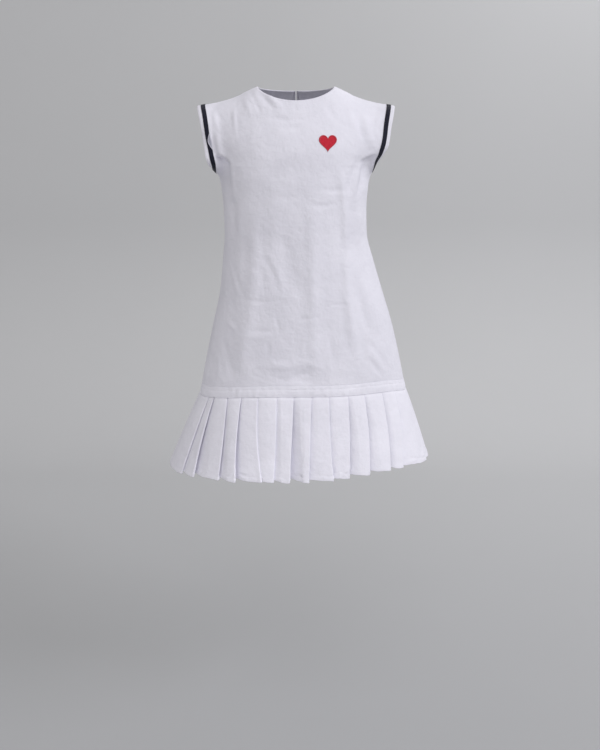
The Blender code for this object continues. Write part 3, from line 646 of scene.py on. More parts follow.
# The doubled colours are lighter partly because doubled cloth lets less light through, and partly
# as painted light on the band and flounce.
DULL_DOUBLED_PAINTED_LIGHT = (0.80, 0.79, 0.867, 1)
CLEAR_DOUBLED_PAINTED_LIGHT = (0.875, 0.865, 0.942, 1)
# Grey-violet of the small fold over the right ribbon: partly the navy seen through the thin
# cloth, partly painted shade of the fold.
FLAP_RIBBON_AND_SHADE = (0.20, 0.20, 0.27, 1)


def woven(cloth, across, along, pitch):
    """Little pillows where the threads of a plain weave cross."""
    warp = (across * (math.pi / pitch)).maths("SINE")
    weft = (along * (math.pi / pitch)).maths("SINE")
    return (warp * weft).maths("ABSOLUTE")


def make_white_cotton(name, dull, clear):
    cloth = Finish(name, Roughness=0.85, Specular_IOR_Level=0.3, Sheen_Weight=0.15,
                   Sheen_Roughness=0.5, Sheen_Tint=(0.9, 0.92, 1.0, 1.0))
    spot = cloth.cloth_place()
    across, along, _ = cloth.axes(spot)
    warp_slubs = cloth.noise(cloth.stretched(spot, (1500.0, 45.0, 1.0)), 1.0, 2.0)
    weft_slubs = cloth.noise(cloth.stretched(spot, (40.0, 1300.0, 1.0)), 1.0, 2.0)
    slubs = warp_slubs * 0.5 + weft_slubs * 0.5
    patches = cloth.noise(cloth.object_place(), 14.0, 4.0)
    tone = patches * 0.6 + slubs * 0.4
    white = cloth.blend(tone.step(0.3, 0.7), dull, clear)
    # Where a panel carries this attribute, the white is drawn towards that grey-violet: partly
    # the ribbon seen through the small fold, partly painted shade of the fold.
    flap_darkening = cloth.node("ShaderNodeAttribute", {"attribute_name": "fold_ribbon_and_shade"}, output=2)
    colour = cloth.blend(flap_darkening, white, FLAP_RIBBON_AND_SHADE)
    rough = 0.8 + slubs * 0.12
    broad = cloth.bump(cloth.noise(cloth.object_place(), 26.0, 3.0), 0.0048, 0.7)
    rumple = cloth.bump(cloth.noise(cloth.object_place(), 85.0, 3.0), 0.0015, 0.7, broad)
    threads = woven(cloth, across, along, THREAD_PITCH) * 0.6 + slubs * 0.8
    surface = cloth.bump(threads, 0.00009, 0.8, rumple)
    return cloth.connect(Base_Color=colour, Roughness=rough, Normal=surface)


white_cotton = make_white_cotton("white_cotton", DULL_COTTON, CLEAR_COTTON)
# A lighter copy of the cotton for the band and the flounce, partly painted light.
doubled_painted_light_cotton = make_white_cotton("white_cotton_doubled_painted_light", DULL_DOUBLED_PAINTED_LIGHT, CLEAR_DOUBLED_PAINTED_LIGHT)
print("finishes:", white_cotton.name, doubled_painted_light_cotton.name, "with",
      len(white_cotton.node_tree.nodes), "nodes")

# %% [markdown]
# ## Ribbon, felt, thread and resin
# Grosgrain ribbon has firm ribs from edge to edge and a smooth woven edge on each side. The
# small heart is felt with fibres lying every way, held by a satin stitch whose threads lie
# side by side across its rim. Thread is twisted, and the button is polished resin with a
# faint pearly cloud in it.

# %% Navy grosgrain
RIB_PITCH = 0.0009
RIBBON_WIDTH = 9.0
WOVEN_EDGE = (0.0036, 0.004)
NAVY_DARK = (0.003, 0.0035, 0.010, 1)
NAVY_LIGHT = (0.011, 0.012, 0.028, 1)


def make_navy_ribbon():
    ribbon = Finish("navy_ribbon", Roughness=0.7, Specular_IOR_Level=0.2, Sheen_Weight=0.05)
    across, along, _ = ribbon.axes(ribbon.cloth_place())
    ribs = (along * (math.pi / RIB_PITCH)).maths("SINE").maths("ABSOLUTE")
    edge = across.maths("ABSOLUTE").step(*WOVEN_EDGE)
    cloud = ribbon.noise(ribbon.object_place(), 220.0, 3.0)
    light = ribs * 0.55 + cloud * 0.45 - edge * 0.2
    colour = ribbon.blend(light, NAVY_DARK, NAVY_LIGHT)
    rough = 0.72 - ribs * 0.16
    height = ribs * (1.0 - edge) + edge * 0.7 + cloud * 0.2
    return ribbon.connect(Base_Color=colour, Roughness=rough,
                          Normal=ribbon.bump(height, 0.00022, 0.9))


navy_ribbon = make_navy_ribbon()
print("finish:", navy_ribbon.name)


# %% Red felt and red satin stitch
SATIN_PITCH = 0.00045
FELT_DARK = (0.42, 0.008, 0.022, 1)
SATIN_DARK = (0.33, 0.006, 0.018, 1)
RED_LIGHT = (0.62, 0.02, 0.045, 1)


def make_red_felt():
    felt = Finish("red_felt", Roughness=0.92, Specular_IOR_Level=0.2, Sheen_Weight=0.35,
                  Sheen_Roughness=0.6, Sheen_Tint=(1.0, 0.5, 0.5, 1.0))
    spot = felt.object_place()
    fibres = felt.noise(spot, 900.0, 6.0, 0.7)
    clumps = felt.noise(spot, 260.0, 3.0)
    tone = (fibres * 0.5 + clumps * 0.5).step(0.25, 0.75)
    colour = felt.blend(tone, FELT_DARK, RED_LIGHT)
    return felt.connect(Base_Color=colour, Roughness=0.8 + fibres * 0.2,
                        Normal=felt.bump(fibres + clumps, 0.0003, 0.9))


def make_red_satin():
    satin = Finish("red_satin", Roughness=0.45, Specular_IOR_Level=0.5, Sheen_Weight=0.2)
    across, along, _ = satin.axes(satin.cloth_place())
    threads = (along * (math.pi / SATIN_PITCH)).maths("SINE").maths("ABSOLUTE")
    cloud = satin.noise(satin.object_place(), 500.0, 3.0)
    colour = satin.blend(threads * 0.6 + cloud * 0.4, SATIN_DARK, RED_LIGHT)
    return satin.connect(Base_Color=colour, Roughness=0.6 - threads * 0.2,
                         Normal=satin.bump(threads + cloud * 0.3, 0.00016, 0.9))


red_felt = make_red_felt()
red_satin = make_red_satin()
print("finishes:", red_felt.name, red_satin.name)


# %% Thread and resin
THREAD_DULL = (0.70, 0.70, 0.75, 1)
THREAD_CLEAR = (0.86, 0.86, 0.90, 1)
RESIN_DULL = (0.70, 0.70, 0.73, 1)
RESIN_CLEAR = (0.86, 0.85, 0.86, 1)


def make_white_thread():
    thread = Finish("white_thread", Roughness=0.7, Specular_IOR_Level=0.35, Sheen_Weight=0.2)
    spot = thread.object_place()
    fuzz = thread.noise(spot, 2400.0, 2.0)
    colour = thread.blend(fuzz, THREAD_DULL, THREAD_CLEAR)
    return thread.connect(Base_Color=colour, Roughness=0.6 + fuzz * 0.25,
                          Normal=thread.bump(fuzz, 0.00008, 0.7))


def make_button_resin():
    resin = Finish("button_resin", Roughness=0.22, Specular_IOR_Level=0.5, Coat_Weight=0.4,
                   Coat_Roughness=0.12)
    cloud = resin.noise(resin.object_place(), 260.0, 4.0)
    streaks = resin.noise(resin.stretched(resin.object_place(), (900.0, 120.0, 260.0)), 1.0)
    tone = (cloud * 0.6 + streaks * 0.4).step(0.3, 0.7)
    colour = resin.blend(tone, RESIN_DULL, RESIN_CLEAR)
    return resin.connect(Base_Color=colour, Roughness=0.16 + streaks * 0.16,
                         Normal=resin.bump(cloud, 0.00006, 0.5))


white_thread = make_white_thread()
button_resin = make_button_resin()
print("finishes:", white_thread.name, button_resin.name)

# %% [markdown]
# ## From a sheet of points to a piece of cloth
# A piece of cloth is a flat grid that has been bent. Blender's grid operator makes the flat
# sheet with all its faces, and the piece is made by moving each corner of it to its place in
# space. The same step stores how far each corner lies across and along the cloth. The
# Solidify modifier gives the sheet its thickness, inwards, so the outer face stays on the
# form.

# %% Making and finishing a piece
WELD = 0.001


def sheet_of(points, cloth, closed=False):
    """A bmesh grid moved to rows of points, from the top row down, with its cloth distances."""
    rows, columns = points.shape[:2]
    bm = bmesh.new()
    measured = bm.loops.layers.uv.new("cloth")
    bmesh.ops.create_grid(bm, x_segments=columns - 1, y_segments=rows - 1, size=0.5)
    spots = points[::-1].reshape(-1, 3)
    distances = cloth[::-1].reshape(-1, 2) * MM
    bm.verts.index_update()
    for vert, spot in zip(bm.verts, spots):
        vert.co = spot
    for face in bm.faces:
        for loop in face.loops:
            loop[measured].uv = distances[loop.vert.index]
    if closed:
        bmesh.ops.remove_doubles(bm, verts=bm.verts, dist=WELD)
    return bm


def add_piece(name, mesh, materials, slot, stands_for=(), wall=0.0, offset=-1.0):
    """Turn a mesh in metres into one named piece that rides on the dress."""
    for material in materials:
        mesh.materials.append(material)
    mesh.shade_smooth()
    piece = bpy.data.objects.new(name, mesh)
    bpy.context.scene.collection.objects.link(piece)
    if wall:
        thick = piece.modifiers.new("wall", "SOLIDIFY")
        thick.thickness = wall * MM
        thick.offset = offset
    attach(piece, "root")
    if stands_for:
        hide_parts(*stands_for)
    print(name, len(mesh.polygons), "faces")
    return piece


def finish_piece(name, bm, *details):
    """Turn a bmesh in millimetres into a piece, with the details that add_piece takes."""
    bmesh.ops.scale(bm, vec=(MM, MM, MM), verts=bm.verts)
    mesh = bpy.data.meshes.new(name)
    bm.to_mesh(mesh)
    bm.free()
    return add_piece(name, mesh, *details)


print("helpers for pieces ready")


# %% Distances and directions on a sheet of points
def run_along(points):
    """The distance passed at every point of a line, from its first one."""
    return np.concatenate([[0.0], np.linalg.norm(np.diff(points, axis=0), axis=-1).cumsum()])


def outward(points):
    """The direction that the cloth faces at every point."""
    facing = np.cross(np.gradient(points, axis=0), np.gradient(points, axis=1))
    return facing / np.linalg.norm(facing, axis=-1, keepdims=True)


def cloth_distances(points, centre_column, base_row):
    """How far each point lies across and down the cloth, from a column and a row."""
    across = np.linalg.norm(np.diff(points, axis=1), axis=-1).cumsum(axis=1)
    across = np.pad(across, ((0, 0), (1, 0)))
    along = np.linalg.norm(np.diff(points, axis=0), axis=-1).cumsum(axis=0)
    along = np.pad(along, ((1, 0), (0, 0)))
    across -= across[:, centre_column][:, None]
    along -= along[base_row][None, :]
    return np.stack([across, -along], axis=-1)


def distance_to(points, line):
    """Distance of every point from a line of points, and how far along it the nearest lies."""
    nearest = np.full(points.shape[:-1], FAR)
    passed = np.zeros(nearest.shape)
    gone = 0.0
    for start, end in zip(line, line[1:]):
        run = end - start
        length = float(np.linalg.norm(run))
        if length < 1e-6:
            continue
        share = np.clip(((points - start) @ run) / length ** 2, 0, 1)
        away = np.linalg.norm(points - start - share[..., None] * run, axis=-1)
        closer = away < nearest
        nearest = np.where(closer, away, nearest)
        passed = np.where(closer, gone + share * length, passed)
        gone += length
    return nearest, passed


def puckers(passed, distance, reach=7.0):
    """Small uneven waves, the sum of three, that stitches draw into the cloth beside them."""
    waves = (np.sin(passed / 1.7) + 0.7 * np.sin(passed / 2.6 + 1.3)
             + 0.8 * np.sin(passed / 4.1 + 0.4))
    return waves * np.exp(-distance / reach)


print("wave beside a seam:", round(float(puckers(np.array(3.0), np.array(1.0))), 2))

# %% [markdown]
# ## Front and back panels
# The body is cut in three pieces: a front, and two backs that meet in a centre seam with a
# neck slit above it. Each one is a sheet that runs between two stations. Its edges get the
# small marks of sewing: the neck and armholes roll over where they are turned in, a faint
# ridge shows where the facing ends inside, and each seam sinks into a groove between its
# two allowances.

# %% Sewing marks along the edges
WALL = 1.0
NECK_FACING_DEPTH = 33.0
ARMHOLE_FACING_DEPTH = 18.0
TOPSTITCH = 5.0
SEAM_ALLOWANCE = 10.0


def groove(distance, depth, width):
    return -depth * np.exp(-(distance / width) ** 2)


def layer_below(distance, reach, thick, soft=3.0):
    """How far a second layer, which reaches in from the edge, lifts the cloth."""
    return thick * (1 - smooth_steps((distance - reach) / soft))


def turned_edge(distance, passed, fold):
    """An edge turned in over a facing that is fold mm deep."""
    return (groove(distance, 0.9, 1.3) + layer_below(distance, fold, 0.35)
            + groove(distance - fold, 0.25, 1.2)
            + 0.10 * puckers(passed, np.abs(distance - fold), 5.0))


def sewn_seam(distance, passed):
    """A plain seam pressed open, with its allowances showing as a faint ridge."""
    return (groove(distance, 0.7, 1.1) + layer_below(distance, SEAM_ALLOWANCE, 0.25)
            + 0.13 * puckers(passed, distance))


# %% A panel between two stations
EDGE = 1e-6
UPPER_ROWS = 48
LOWER_ROWS = 130
COLUMNS = 90
SEAM_STEPS = np.array([0.0025, 0.006])
FOOT_STEPS = (0.0022, 0.0007, 0.0)
SOFT_REACH = 10.0
SOFT_EVERY = 5
UNDERARM_SOFT = 9.0
UNDERARM_SPREAD = 26
SEAM_FROM = 0.82
SEAM_SOFT = 0.16
HOLD_HEIGHT = 30
SLIT_LENGTH = 130.0
SLIT_HALF_GAP = 1.4
SLIT_SPREAD = 18.0
FLAPS = [Fold(FRONT, ((-174, -88), (-170, -110), (-164.5, -133)), 1.9, 4.2)]


def soft_outward(points):
    """The outward direction averaged over a thumb's breadth, so that rows never cross."""
    some = points[::SOFT_EVERY, ::SOFT_EVERY].reshape(-1, 3)
    ways = outward(points)[::SOFT_EVERY, ::SOFT_EVERY].reshape(-1, 3)
    soft = []
    for row in points:
        away = np.linalg.norm(row[:, None] - some[None], axis=-1)
        soft.append(np.exp(-(away / SOFT_REACH) ** 2) @ ways)
    soft = np.array(soft)
    return soft / np.linalg.norm(soft, axis=-1, keepdims=True)


def soften_underarm(points, shares):
    """Round the depth of the form, up and down, where the armholes end."""
    height = points[..., 2]
    step = np.abs(np.gradient(height, axis=0)) + 1e-6
    seam = smooth_steps((shares - SEAM_FROM) / SEAM_SOFT)
    near = np.exp(-((height - UNDERARM) / UNDERARM_SPREAD) ** 2) * (1 - seam)
    for c in range(points.shape[1]):
        away = height[:, c][:, None] - height[:, c][None, :]
        weight = np.exp(-(away / UNDERARM_SOFT) ** 2) * step[:, c][None, :]
        blurred = weight @ points[:, c, 1] / weight.sum(axis=1)
        points[:, c, 1] += (blurred - points[:, c, 1]) * near[:, c]
    return points


def close_columns(first, last):
    """Stations across a panel, closer together beside its two edges."""
    count = int(round((last - first) * COLUMNS))
    even = np.linspace(first + EDGE, last - EDGE, count + 1)
    return np.unique(np.concatenate([even, first + SEAM_STEPS, last - SEAM_STEPS]))


def slit_gap(height):
    """Half the width of the neck slit at a height."""
    up = (height + NECK_BACK_DROP + SLIT_LENGTH) / SLIT_LENGTH
    opened = math.sin(math.pi * 0.75 * min(up, 1.0)) if up > 0 else 0.0
    return SLIT_HALF_GAP * opened


def body_levels():
    """Levels of a panel's rows, closer together just above the band."""
    upper = [r / UPPER_ROWS for r in range(UPPER_ROWS)]
    lower = [1 + r / LOWER_ROWS for r in range(LOWER_ROWS)]
    return upper + lower + [2 - step for step in FOOT_STEPS]


def panel_points(face, first, last, flaps=()):
    """Rows of points of one panel, draped and sewn, and their distances on the cloth."""
    stations = close_columns(first, last)
    smooth = np.array([[cloth_point(s, level) for s in stations] for level in body_levels()])
    shares = np.array([quarter(s)[2] for s in stations])[None, :].repeat(len(smooth), axis=0)
    smooth = soften_underarm(smooth, shares)
    hold = smooth_steps((UNDERARM + HOLD_HEIGHT - smooth[..., 2]) / HOLD_HEIGHT)
    from_armhole = np.full(shares.shape, FAR)
    for column in (0, -1):
        if shares[0][column] > 0.5:
            edge = smooth[:UPPER_ROWS + 1, column]
            from_armhole = np.minimum(from_armhole, distance_to(smooth, edge)[0])
    relief = drape(face, smooth, shares * hold, from_armhole)
    for flap in flaps:
        relief += line_relief(flap, smooth[..., 0], smooth[..., 2])
    relief += panel_seams(smooth, shares)
    points = smooth + soft_outward(smooth) * relief[..., None]
    centre = int(np.argmin(shares[0]))
    return points, cloth_distances(points, centre, UPPER_ROWS)


def panel_seams(smooth, shares):
    """The relief of a panel's turned edges and seams."""
    relief = np.zeros(shares.shape)
    top = smooth[0]
    neck, passed = distance_to(smooth, top[shares[0] <= NECK_SHARE + 1e-6])
    relief += turned_edge(neck, passed, NECK_FACING_DEPTH) + groove(neck - TOPSTITCH, 0.2, 1.0)
    for side in (1, -1):
        shoulder = top[(shares[0] >= NECK_SHARE) & (np.sign(top[:, 0]) == side)]
        if len(shoulder) > 1:
            relief += sewn_seam(*distance_to(smooth, shoulder))
    for column in (0, -1):
        edge = smooth[:, column]
        if shares[0][column] > 0.5:
            hole, passed = distance_to(smooth, edge[:UPPER_ROWS + 1])
            relief += turned_edge(hole, passed, ARMHOLE_FACING_DEPTH)
            relief += sewn_seam(*distance_to(smooth, edge[UPPER_ROWS:]))
        else:
            relief += sewn_seam(*distance_to(smooth, edge))
    return relief


# %% Cut and place the three panels
def open_slit(points):
    """Move a back panel's centre edge aside along the neck slit."""
    outer = 1 if points[..., 0].mean() > 0 else -1
    for row in points:
        near = np.exp(-np.abs(row[:, 0]) / SLIT_SPREAD)
        row[:, 0] += outer * near * np.array([slit_gap(height) for height in row[:, 2]])
    return points


PANELS = (("front", FRONT, -1, 1), ("back_left", BACK, 1, 2), ("back_right", BACK, 2, 3))
under_flap = {}
panels = {}
for name, face, first, last in PANELS:
    points, cloth = panel_points(face, first, last)
    if face == BACK:
        points = open_slit(points)
    under_flap[name] = points
    if face == FRONT:
        points, cloth = panel_points(face, first, last, FLAPS)
    panels[name] = finish_piece("cloth_" + name, sheet_of(points, cloth), [white_cotton],
                                "white_cotton", [name], WALL)
print("body:", ", ".join(panel.name for panel in panels.values()))

# %% [markdown]
# ## Neck facing
# The neckline is finished with a shaped strip of the same cloth inside it, which shows at the
# back of the neck when the dress is looked at from the front. It starts at the neck edge and
# lies just inside the panels, and it is cut away where the back is slit.

# %% Laying things on the panels
def surface_of(bodies):
    """A function that finds the nearest point of the cloth and the way it faces there."""
    vertices, faces = [], []
    for grid in bodies:
        rows, columns = grid.shape[:2]
        first = len(vertices)
        vertices.extend(Vector(point) for point in grid.reshape(-1, 3))
        for r in range(rows - 1):
            for c in range(columns - 1):
                at = first + r * columns + c
                faces.append((at, at + columns, at + columns + 1, at + 1))
    tree = BVHTree.FromPolygons(vertices, faces)

    def lay(point, lift):
        spot, facing, _, _ = tree.find_nearest(point)
        return spot + facing * lift
    return lay


lay = surface_of(under_flap.values())


def facing_way(point):
    """The way that the panels face at their nearest point, as a step of 1 mm."""
    return lay(point, 1.0) - lay(point, 0.0)


def walk_in(row, distance, closed=False, turned=1):
    """A row of points moved along the cloth, square to the row."""
    moved = []
    for i, point in enumerate(row):
        after = row[(i + 1) % len(row)] if closed else row[min(i + 1, len(row) - 1)]
        before = row[i - 1] if closed or i else row[0]
        inward = (after - before).cross(facing_way(point)).normalized()
        moved.append(lay(point + inward * distance * turned, 0.0))
    return moved


print("cloth below the neck lies at", [round(c) for c in lay(Vector((0, -90, -60)), 0)])


# %% The facing's strip
FACING_WALL = 0.6
FACING_GAP = 0.3
FACING_SINK = 0.5
FACING_STEPS = [2.0] + [4.4] * 7
SLIT_MARGIN = 0.02


def neck_line(steps=40):
    """Points round the neck edge from one side of the slit to the other."""
    shares = np.linspace(SLIT_MARGIN, NECK_SHARE, steps)
    right = [cloth_point(2 + share, 0) for share in shares]
    front = [cloth_point(share, 0) for share in np.linspace(-NECK_SHARE, NECK_SHARE, 2 * steps)]
    left = [cloth_point(2 - share, 0) for share in shares[::-1]]
    return right + front[1:-1] + left


def neck_facing():
    """Rows of points walked in from the neck edge, then moved to the inside of the panels."""
    rows = [[lay(point, 0.0) for point in neck_line()]]
    for step in FACING_STEPS:
        rows.append(walk_in(rows[-1], step))
    sinks = [WALL + FACING_GAP] + [WALL + FACING_GAP + FACING_SINK] * len(FACING_STEPS)
    points = np.array([[lay(point, -sink) for point in row] for row, sink in zip(rows, sinks)])
    bm = sheet_of(points, cloth_distances(points, 0, 0))
    bmesh.ops.reverse_faces(bm, faces=bm.faces)
    return finish_piece("neck_facing", bm, [white_cotton], "white_cotton", (), FACING_WALL, 1.0)


facing = neck_facing()

# %% [markdown]
# ## Band at the hips
# A narrow straight band joins the body to the flounce. It is a folded strip sewn over the
# seam, so it stands a little proud, with one stitched tuck about 9 mm below its upper edge
# and small puckers where the stitches pull.

# %% Band
BAND_PROUD = 0.7
BAND_LIFTED = 0.4
BAND_WALL = 1.6
BAND_COLUMNS = 120
BAND_ROWS = 20
BAND_CLOSE_ROWS = [0.6, 1.6, 8.7, 9.3, 22.3, 23.4]
BANDS = (("band_front", -1, 1), ("band_back", 1, 3))
STATION_STEP = 0.002


def ring_out(ring, station):
    """The level direction straight out from a ring."""
    along = ring(station + STATION_STEP) - ring(station - STATION_STEP)
    along.z = 0
    return along.cross(UP).normalized()


def band_foot(station):
    return section_point(station, band_foot_height(station))


def wander(passed, start, reach=31.0):
    """A slow uneven drift between -1 and 1, as a hand-guided line of stitches has."""
    return (0.5 * np.sin(passed / reach + start) + 0.3 * np.sin(passed / reach * 2.3 + 2 * start)
            + 0.2 * np.sin(passed / reach * 5.1 + 3 * start))


def band_section(down, passed):
    """Its rolled edge, its tuck and its two lines of stitches, at distances from the top."""
    uneven = 0.75 + 0.45 * wander(passed, 4.0, 17.0)
    rolled = layer_below(down, 0, -1.1, 2.4) + groove(down - 2.8, 0.3, 1.6) * uneven
    tucked = layer_below(down, 7.6, -0.5) + groove(down - 9.2, 0.5, 1.8) * uneven
    return rolled + tucked + groove(down - 21.4, 0.35, 1.2) + groove(down - BAND_HEIGHT, 0.5, 2.4)


def band_gathers(down, passed):
    """The puckers beside its foot and its tuck, each stronger in some places."""
    foot = puckers(passed * 0.8, np.abs(down - 21.8), 5.5) * (1.1 + wander(passed, 2.0))
    tuck = puckers(passed * 0.6 + 9, np.abs(down - 6.0), 5.0) * (1.1 - wander(passed, 6.0))
    return 0.42 * foot + 0.3 * tuck


def band_relief(down, passed):
    down = down + 0.8 * wander(passed, 1.0) * np.sin(np.pi * np.clip(down / BAND_HEIGHT, 0, 1))
    held = np.sin(np.pi * np.clip(down / BAND_HEIGHT, 0.02, 0.98)) ** 0.5
    return band_section(down, passed) + band_gathers(down, passed) * held


def band_sheet(first, last):
    stations = np.linspace(first, last, int(round((last - first) * BAND_COLUMNS)) + 1)
    downs = np.linspace(0, BAND_HEIGHT, BAND_ROWS + 1)
    downs = np.unique(np.concatenate([downs, BAND_CLOSE_ROWS]))
    outs = np.array([ring_out(band_foot, s) for s in stations])
    base = np.array([[section_point(s, band_foot_height(s) + BAND_HEIGHT - down)
                      for s in stations] for down in downs])
    relief = band_relief(downs[:, None], run_along(base[0])[None, :])
    return base + outs[None] * (BAND_PROUD + BAND_LIFTED + relief)[..., None]


bands = {}
for name, first, last in BANDS:
    bands[name] = band_sheet(first, last)
    middle = bands[name].shape[1] // 2
    bm = sheet_of(bands[name], cloth_distances(bands[name], middle, 0))
    panels[name] = finish_piece("cloth_" + name, bm, [doubled_painted_light_cotton], "white_cotton", [name],
                                BAND_WALL)

# %% [markdown]
# ## Pleated flounce
# Knife pleats all turn one way. Each starts at a hidden inner fold, comes out from under its
# neighbour, climbs to a free fold edge and turns back under itself. The section at the band
# is a tight stack, and at the hem it swings open. Every corner of the section is rounded,
# and in between the cloth runs straight down, with a slight sway of its own in each pleat.

# %% Where the pleats fold
HEM_FOOT = RingRow(-799, -805, -815, -817)
HEM_REACH = RingRow(190, 297, 192, 283)
HEM_LIFT = 14.0
HEM_SQUARE = 2.1
RING_STEPS = 720
PleatRow = namedtuple("PleatRow", "at_band at_hem rise sway inner crest")
FRONT_PLEATS = [PleatRow(*row) for row in (
    (-300, -398, 0.5, 0, -3, 4), (-208, -274, 0.4, 0, 4, 6), (-190, -234, 0.5, -2, -3, 6),
    (-152, -169, 0.45, 2, -9, 4), (-118, -128, 0.62, -3, -9, 9), (-81, -72, 0.3, -5, -8, 4),
    (-41, -47, 0.35, 2, 0, 1), (-5, -13, 0.6, 0, -7, 5), (32, 27, 0.92, 0, -19, 5),
    (69, 79, 0.6, -2, -8, 4), (110, 113, 0.4, 2, -6, 3), (146, 158, 0.6, 4, -15, 4),
    (189, 209, 0.5, 4, -15, 4), (226, 243, 0.6, 8, -16, 4), (283, 349, 0.3, 0, -4, 3))]
BACK_PLEATS = 17


def hem_foot(station):
    """A point of the hem's ring, before any pleat."""
    face, side, share = quarter(station)
    turn = share * math.pi / 2
    reach = getattr(HEM_REACH, side) * math.sin(turn) ** (2 / HEM_SQUARE)
    depth = getattr(HEM_REACH, face) * math.cos(turn) ** (2 / HEM_SQUARE)
    height = around(HEM_FOOT, station)
    if face == FRONT and side == LEFT:
        height += HEM_LIFT * math.sin(share * math.pi) ** 2
    return point_at(face, side, reach, depth, height)


def station_finder(ring):
    """Turns a distance from centre front, measured round a ring, into a station."""
    stations = [-1 + 4 * i / RING_STEPS for i in range(RING_STEPS + 1)]
    points = [ring(station) for station in stations]
    run = [0.0]
    for before, after in zip(points, points[1:]):
        run.append(run[-1] + (after - before).length)

    def find(distance):
        at = (distance + run[RING_STEPS // 4]) % run[-1]
        i = min(bisect_right(run, at) - 1, RING_STEPS - 1)
        return mix(stations[i], stations[i + 1], (at - run[i]) / (run[i + 1] - run[i]))
    return find, run[-1]


find_at_band, BAND_GIRTH = station_finder(band_foot)
find_at_hem, HEM_GIRTH = station_finder(hem_foot)


def back_pleats():
    """The back's folds, evenly spaced from the front's last one round to its first."""
    first, last = FRONT_PLEATS[-1], FRONT_PLEATS[0]
    inners = [-6 - 3 * math.sin(1.7 * i) for i in range(BACK_PLEATS)] + [last.inner]
    inners[0] = first.inner
    sways = [3.5 * math.sin(2.4 * i) for i in range(BACK_PLEATS)] + [0]
    shares = [i / BACK_PLEATS for i in range(BACK_PLEATS + 1)]
    return [PleatRow(mix(first.at_band, last.at_band + BAND_GIRTH, share),
                     mix(first.at_hem, last.at_hem + HEM_GIRTH, share), 0.5, sway, inner, 6)
            for share, sway, inner in zip(shares, sways, inners)]


print("round the band", round(BAND_GIRTH), "mm, round the hem", round(HEM_GIRTH), "mm")

# %% The section of the pleats at one edge
Stack = namedtuple("Stack", "at underlay_depth fold_gap sharp soft rise_part")
PLEAT_PITCH = 1.4
CREST_DROP = 1.5
EMERGE_SHARE = 0.15
RISE_BEND = 0.75
UNDER_FOLD = 1.5
UNDERLAY_MOST = 0.7
STACK_TUCK = 1.2
STACK_FOOT = BAND_PROUD - STACK_TUCK - PLEAT_PITCH
AT_BAND = Stack("at_band", 17.0, PLEAT_PITCH, 0.6, 4.0, 0.5)
AT_HEM = Stack("at_hem", 12.0, 4.0, 1.5, 12.0, 1.0)


def pleat_heights(row, stack):
    """Offsets of a pleat's inner fold and of its fold edge from the flounce's ring."""
    if stack is AT_HEM:
        return row.inner, row.crest
    return STACK_FOOT, STACK_FOOT + 2 * PLEAT_PITCH


def pleat_corners(rows, stack):
    """Seven corners for each pleat, with their distance round, offset, sway and drop."""
    ats = [getattr(row, stack.at) for row in rows]
    widths = [after - before for before, after in zip(ats, ats[1:])]
    depths = [stack.underlay_depth]
    depths += [min(stack.underlay_depth, UNDERLAY_MOST * width) for width in widths]
    corners = []
    for i in range(1, len(rows)):
        row, before = rows[i], rows[i - 1]
        inner, crest = pleat_heights(row, stack)
        rise = row.rise * stack.rise_part
        before_crest = pleat_heights(before, stack)[1]
        covered = ats[i] - depths[i]
        climbed = max(inner + 2 * PLEAT_PITCH, crest - CREST_DROP)
        emerge = min(mix(inner, crest, EMERGE_SHARE), before_crest - 2 * PLEAT_PITCH)
        emerge = max(inner, emerge)
        corners += [
            (ats[i - 1] - depths[i - 1], inner, before.sway, -1),
            (ats[i - 1], emerge, before.sway, -1),
            (mix(ats[i - 1], covered, rise), mix(emerge, climbed, RISE_BEND),
             mix(before.sway, row.sway, rise), 0),
            (covered, climbed, row.sway, 0.7),
            (ats[i], crest, row.sway, 1),
            (ats[i], crest - stack.fold_gap, row.sway, 1),
            (covered, climbed - stack.fold_gap * UNDER_FOLD, row.sway, 0.5)]
    return corners


# %% Rounding the section's corners
SHARP_CORNERS = (0, 4, 5, 6)
BETWEEN_CORNERS = (3, 4, 5, 4, 0, 4, 0)
ON_CORNER = (0.0, 0.5, 1.0)
ROUNDED_MOST = 0.45


def leave_corner(spots, corner, towards, stack):
    """Where the rounding of a corner ends on the straight line to its neighbour."""
    way = spots[towards] - spots[corner]
    length = np.hypot(way[0], way[1])
    radius = stack.sharp if corner % len(BETWEEN_CORNERS) in SHARP_CORNERS else stack.soft
    return spots[corner] + way * (min(radius / length, ROUNDED_MOST) if length else 0.0)


def rounded(corners, stack):
    """The section as a smooth line, with an equal number of points for every pleat."""
    line = []
    spots = [np.array(corner, float) for corner in corners]
    last = len(spots) - 1
    for i, spot in enumerate(spots):
        start = leave_corner(spots, i, max(i - 1, 0), stack)
        end = leave_corner(spots, i, min(i + 1, last), stack)
        for t in ON_CORNER:
            line.append((1 - t) ** 2 * start + 2 * t * (1 - t) * spot + t * t * end)
        if i < last:
            after = leave_corner(spots, i + 1, i, stack)
            points = BETWEEN_CORNERS[i % len(BETWEEN_CORNERS)]
            line += [mix(end, after, t) for t in np.linspace(0, 1, points + 2)[1:-1]]
    return np.array(line)


print("points in a pleat:", len(ON_CORNER) * len(BETWEEN_CORNERS) + sum(BETWEEN_CORNERS))

# %% The flounce's sheets
FLOUNCE_GAP = 0.4
FLOUNCE_BOW = 1.2
FLOUNCE_WALL = 0.8
HEM_TURN = 9.0
OPENING = 0.65
HEM_STEP = 2.2
PULL_DEPTH = 2.6
PULL_HEIGHT = 12
PULL_SPREAD = 16
FLOUNCE_SHARES = np.concatenate([np.linspace(0, 0.9, 25), np.linspace(0.905, 1.0, 14)])


def hem_relief(above, passed):
    """The turned hem: a little thicker, with a stitched line and puckers at its top."""
    return (layer_below(above, HEM_TURN, 0.35, 1.5) + groove(above - HEM_TURN, 0.35, 1.2)
            + 0.22 * puckers(passed * 0.7, np.abs(above - HEM_TURN * 0.6), 6.0))


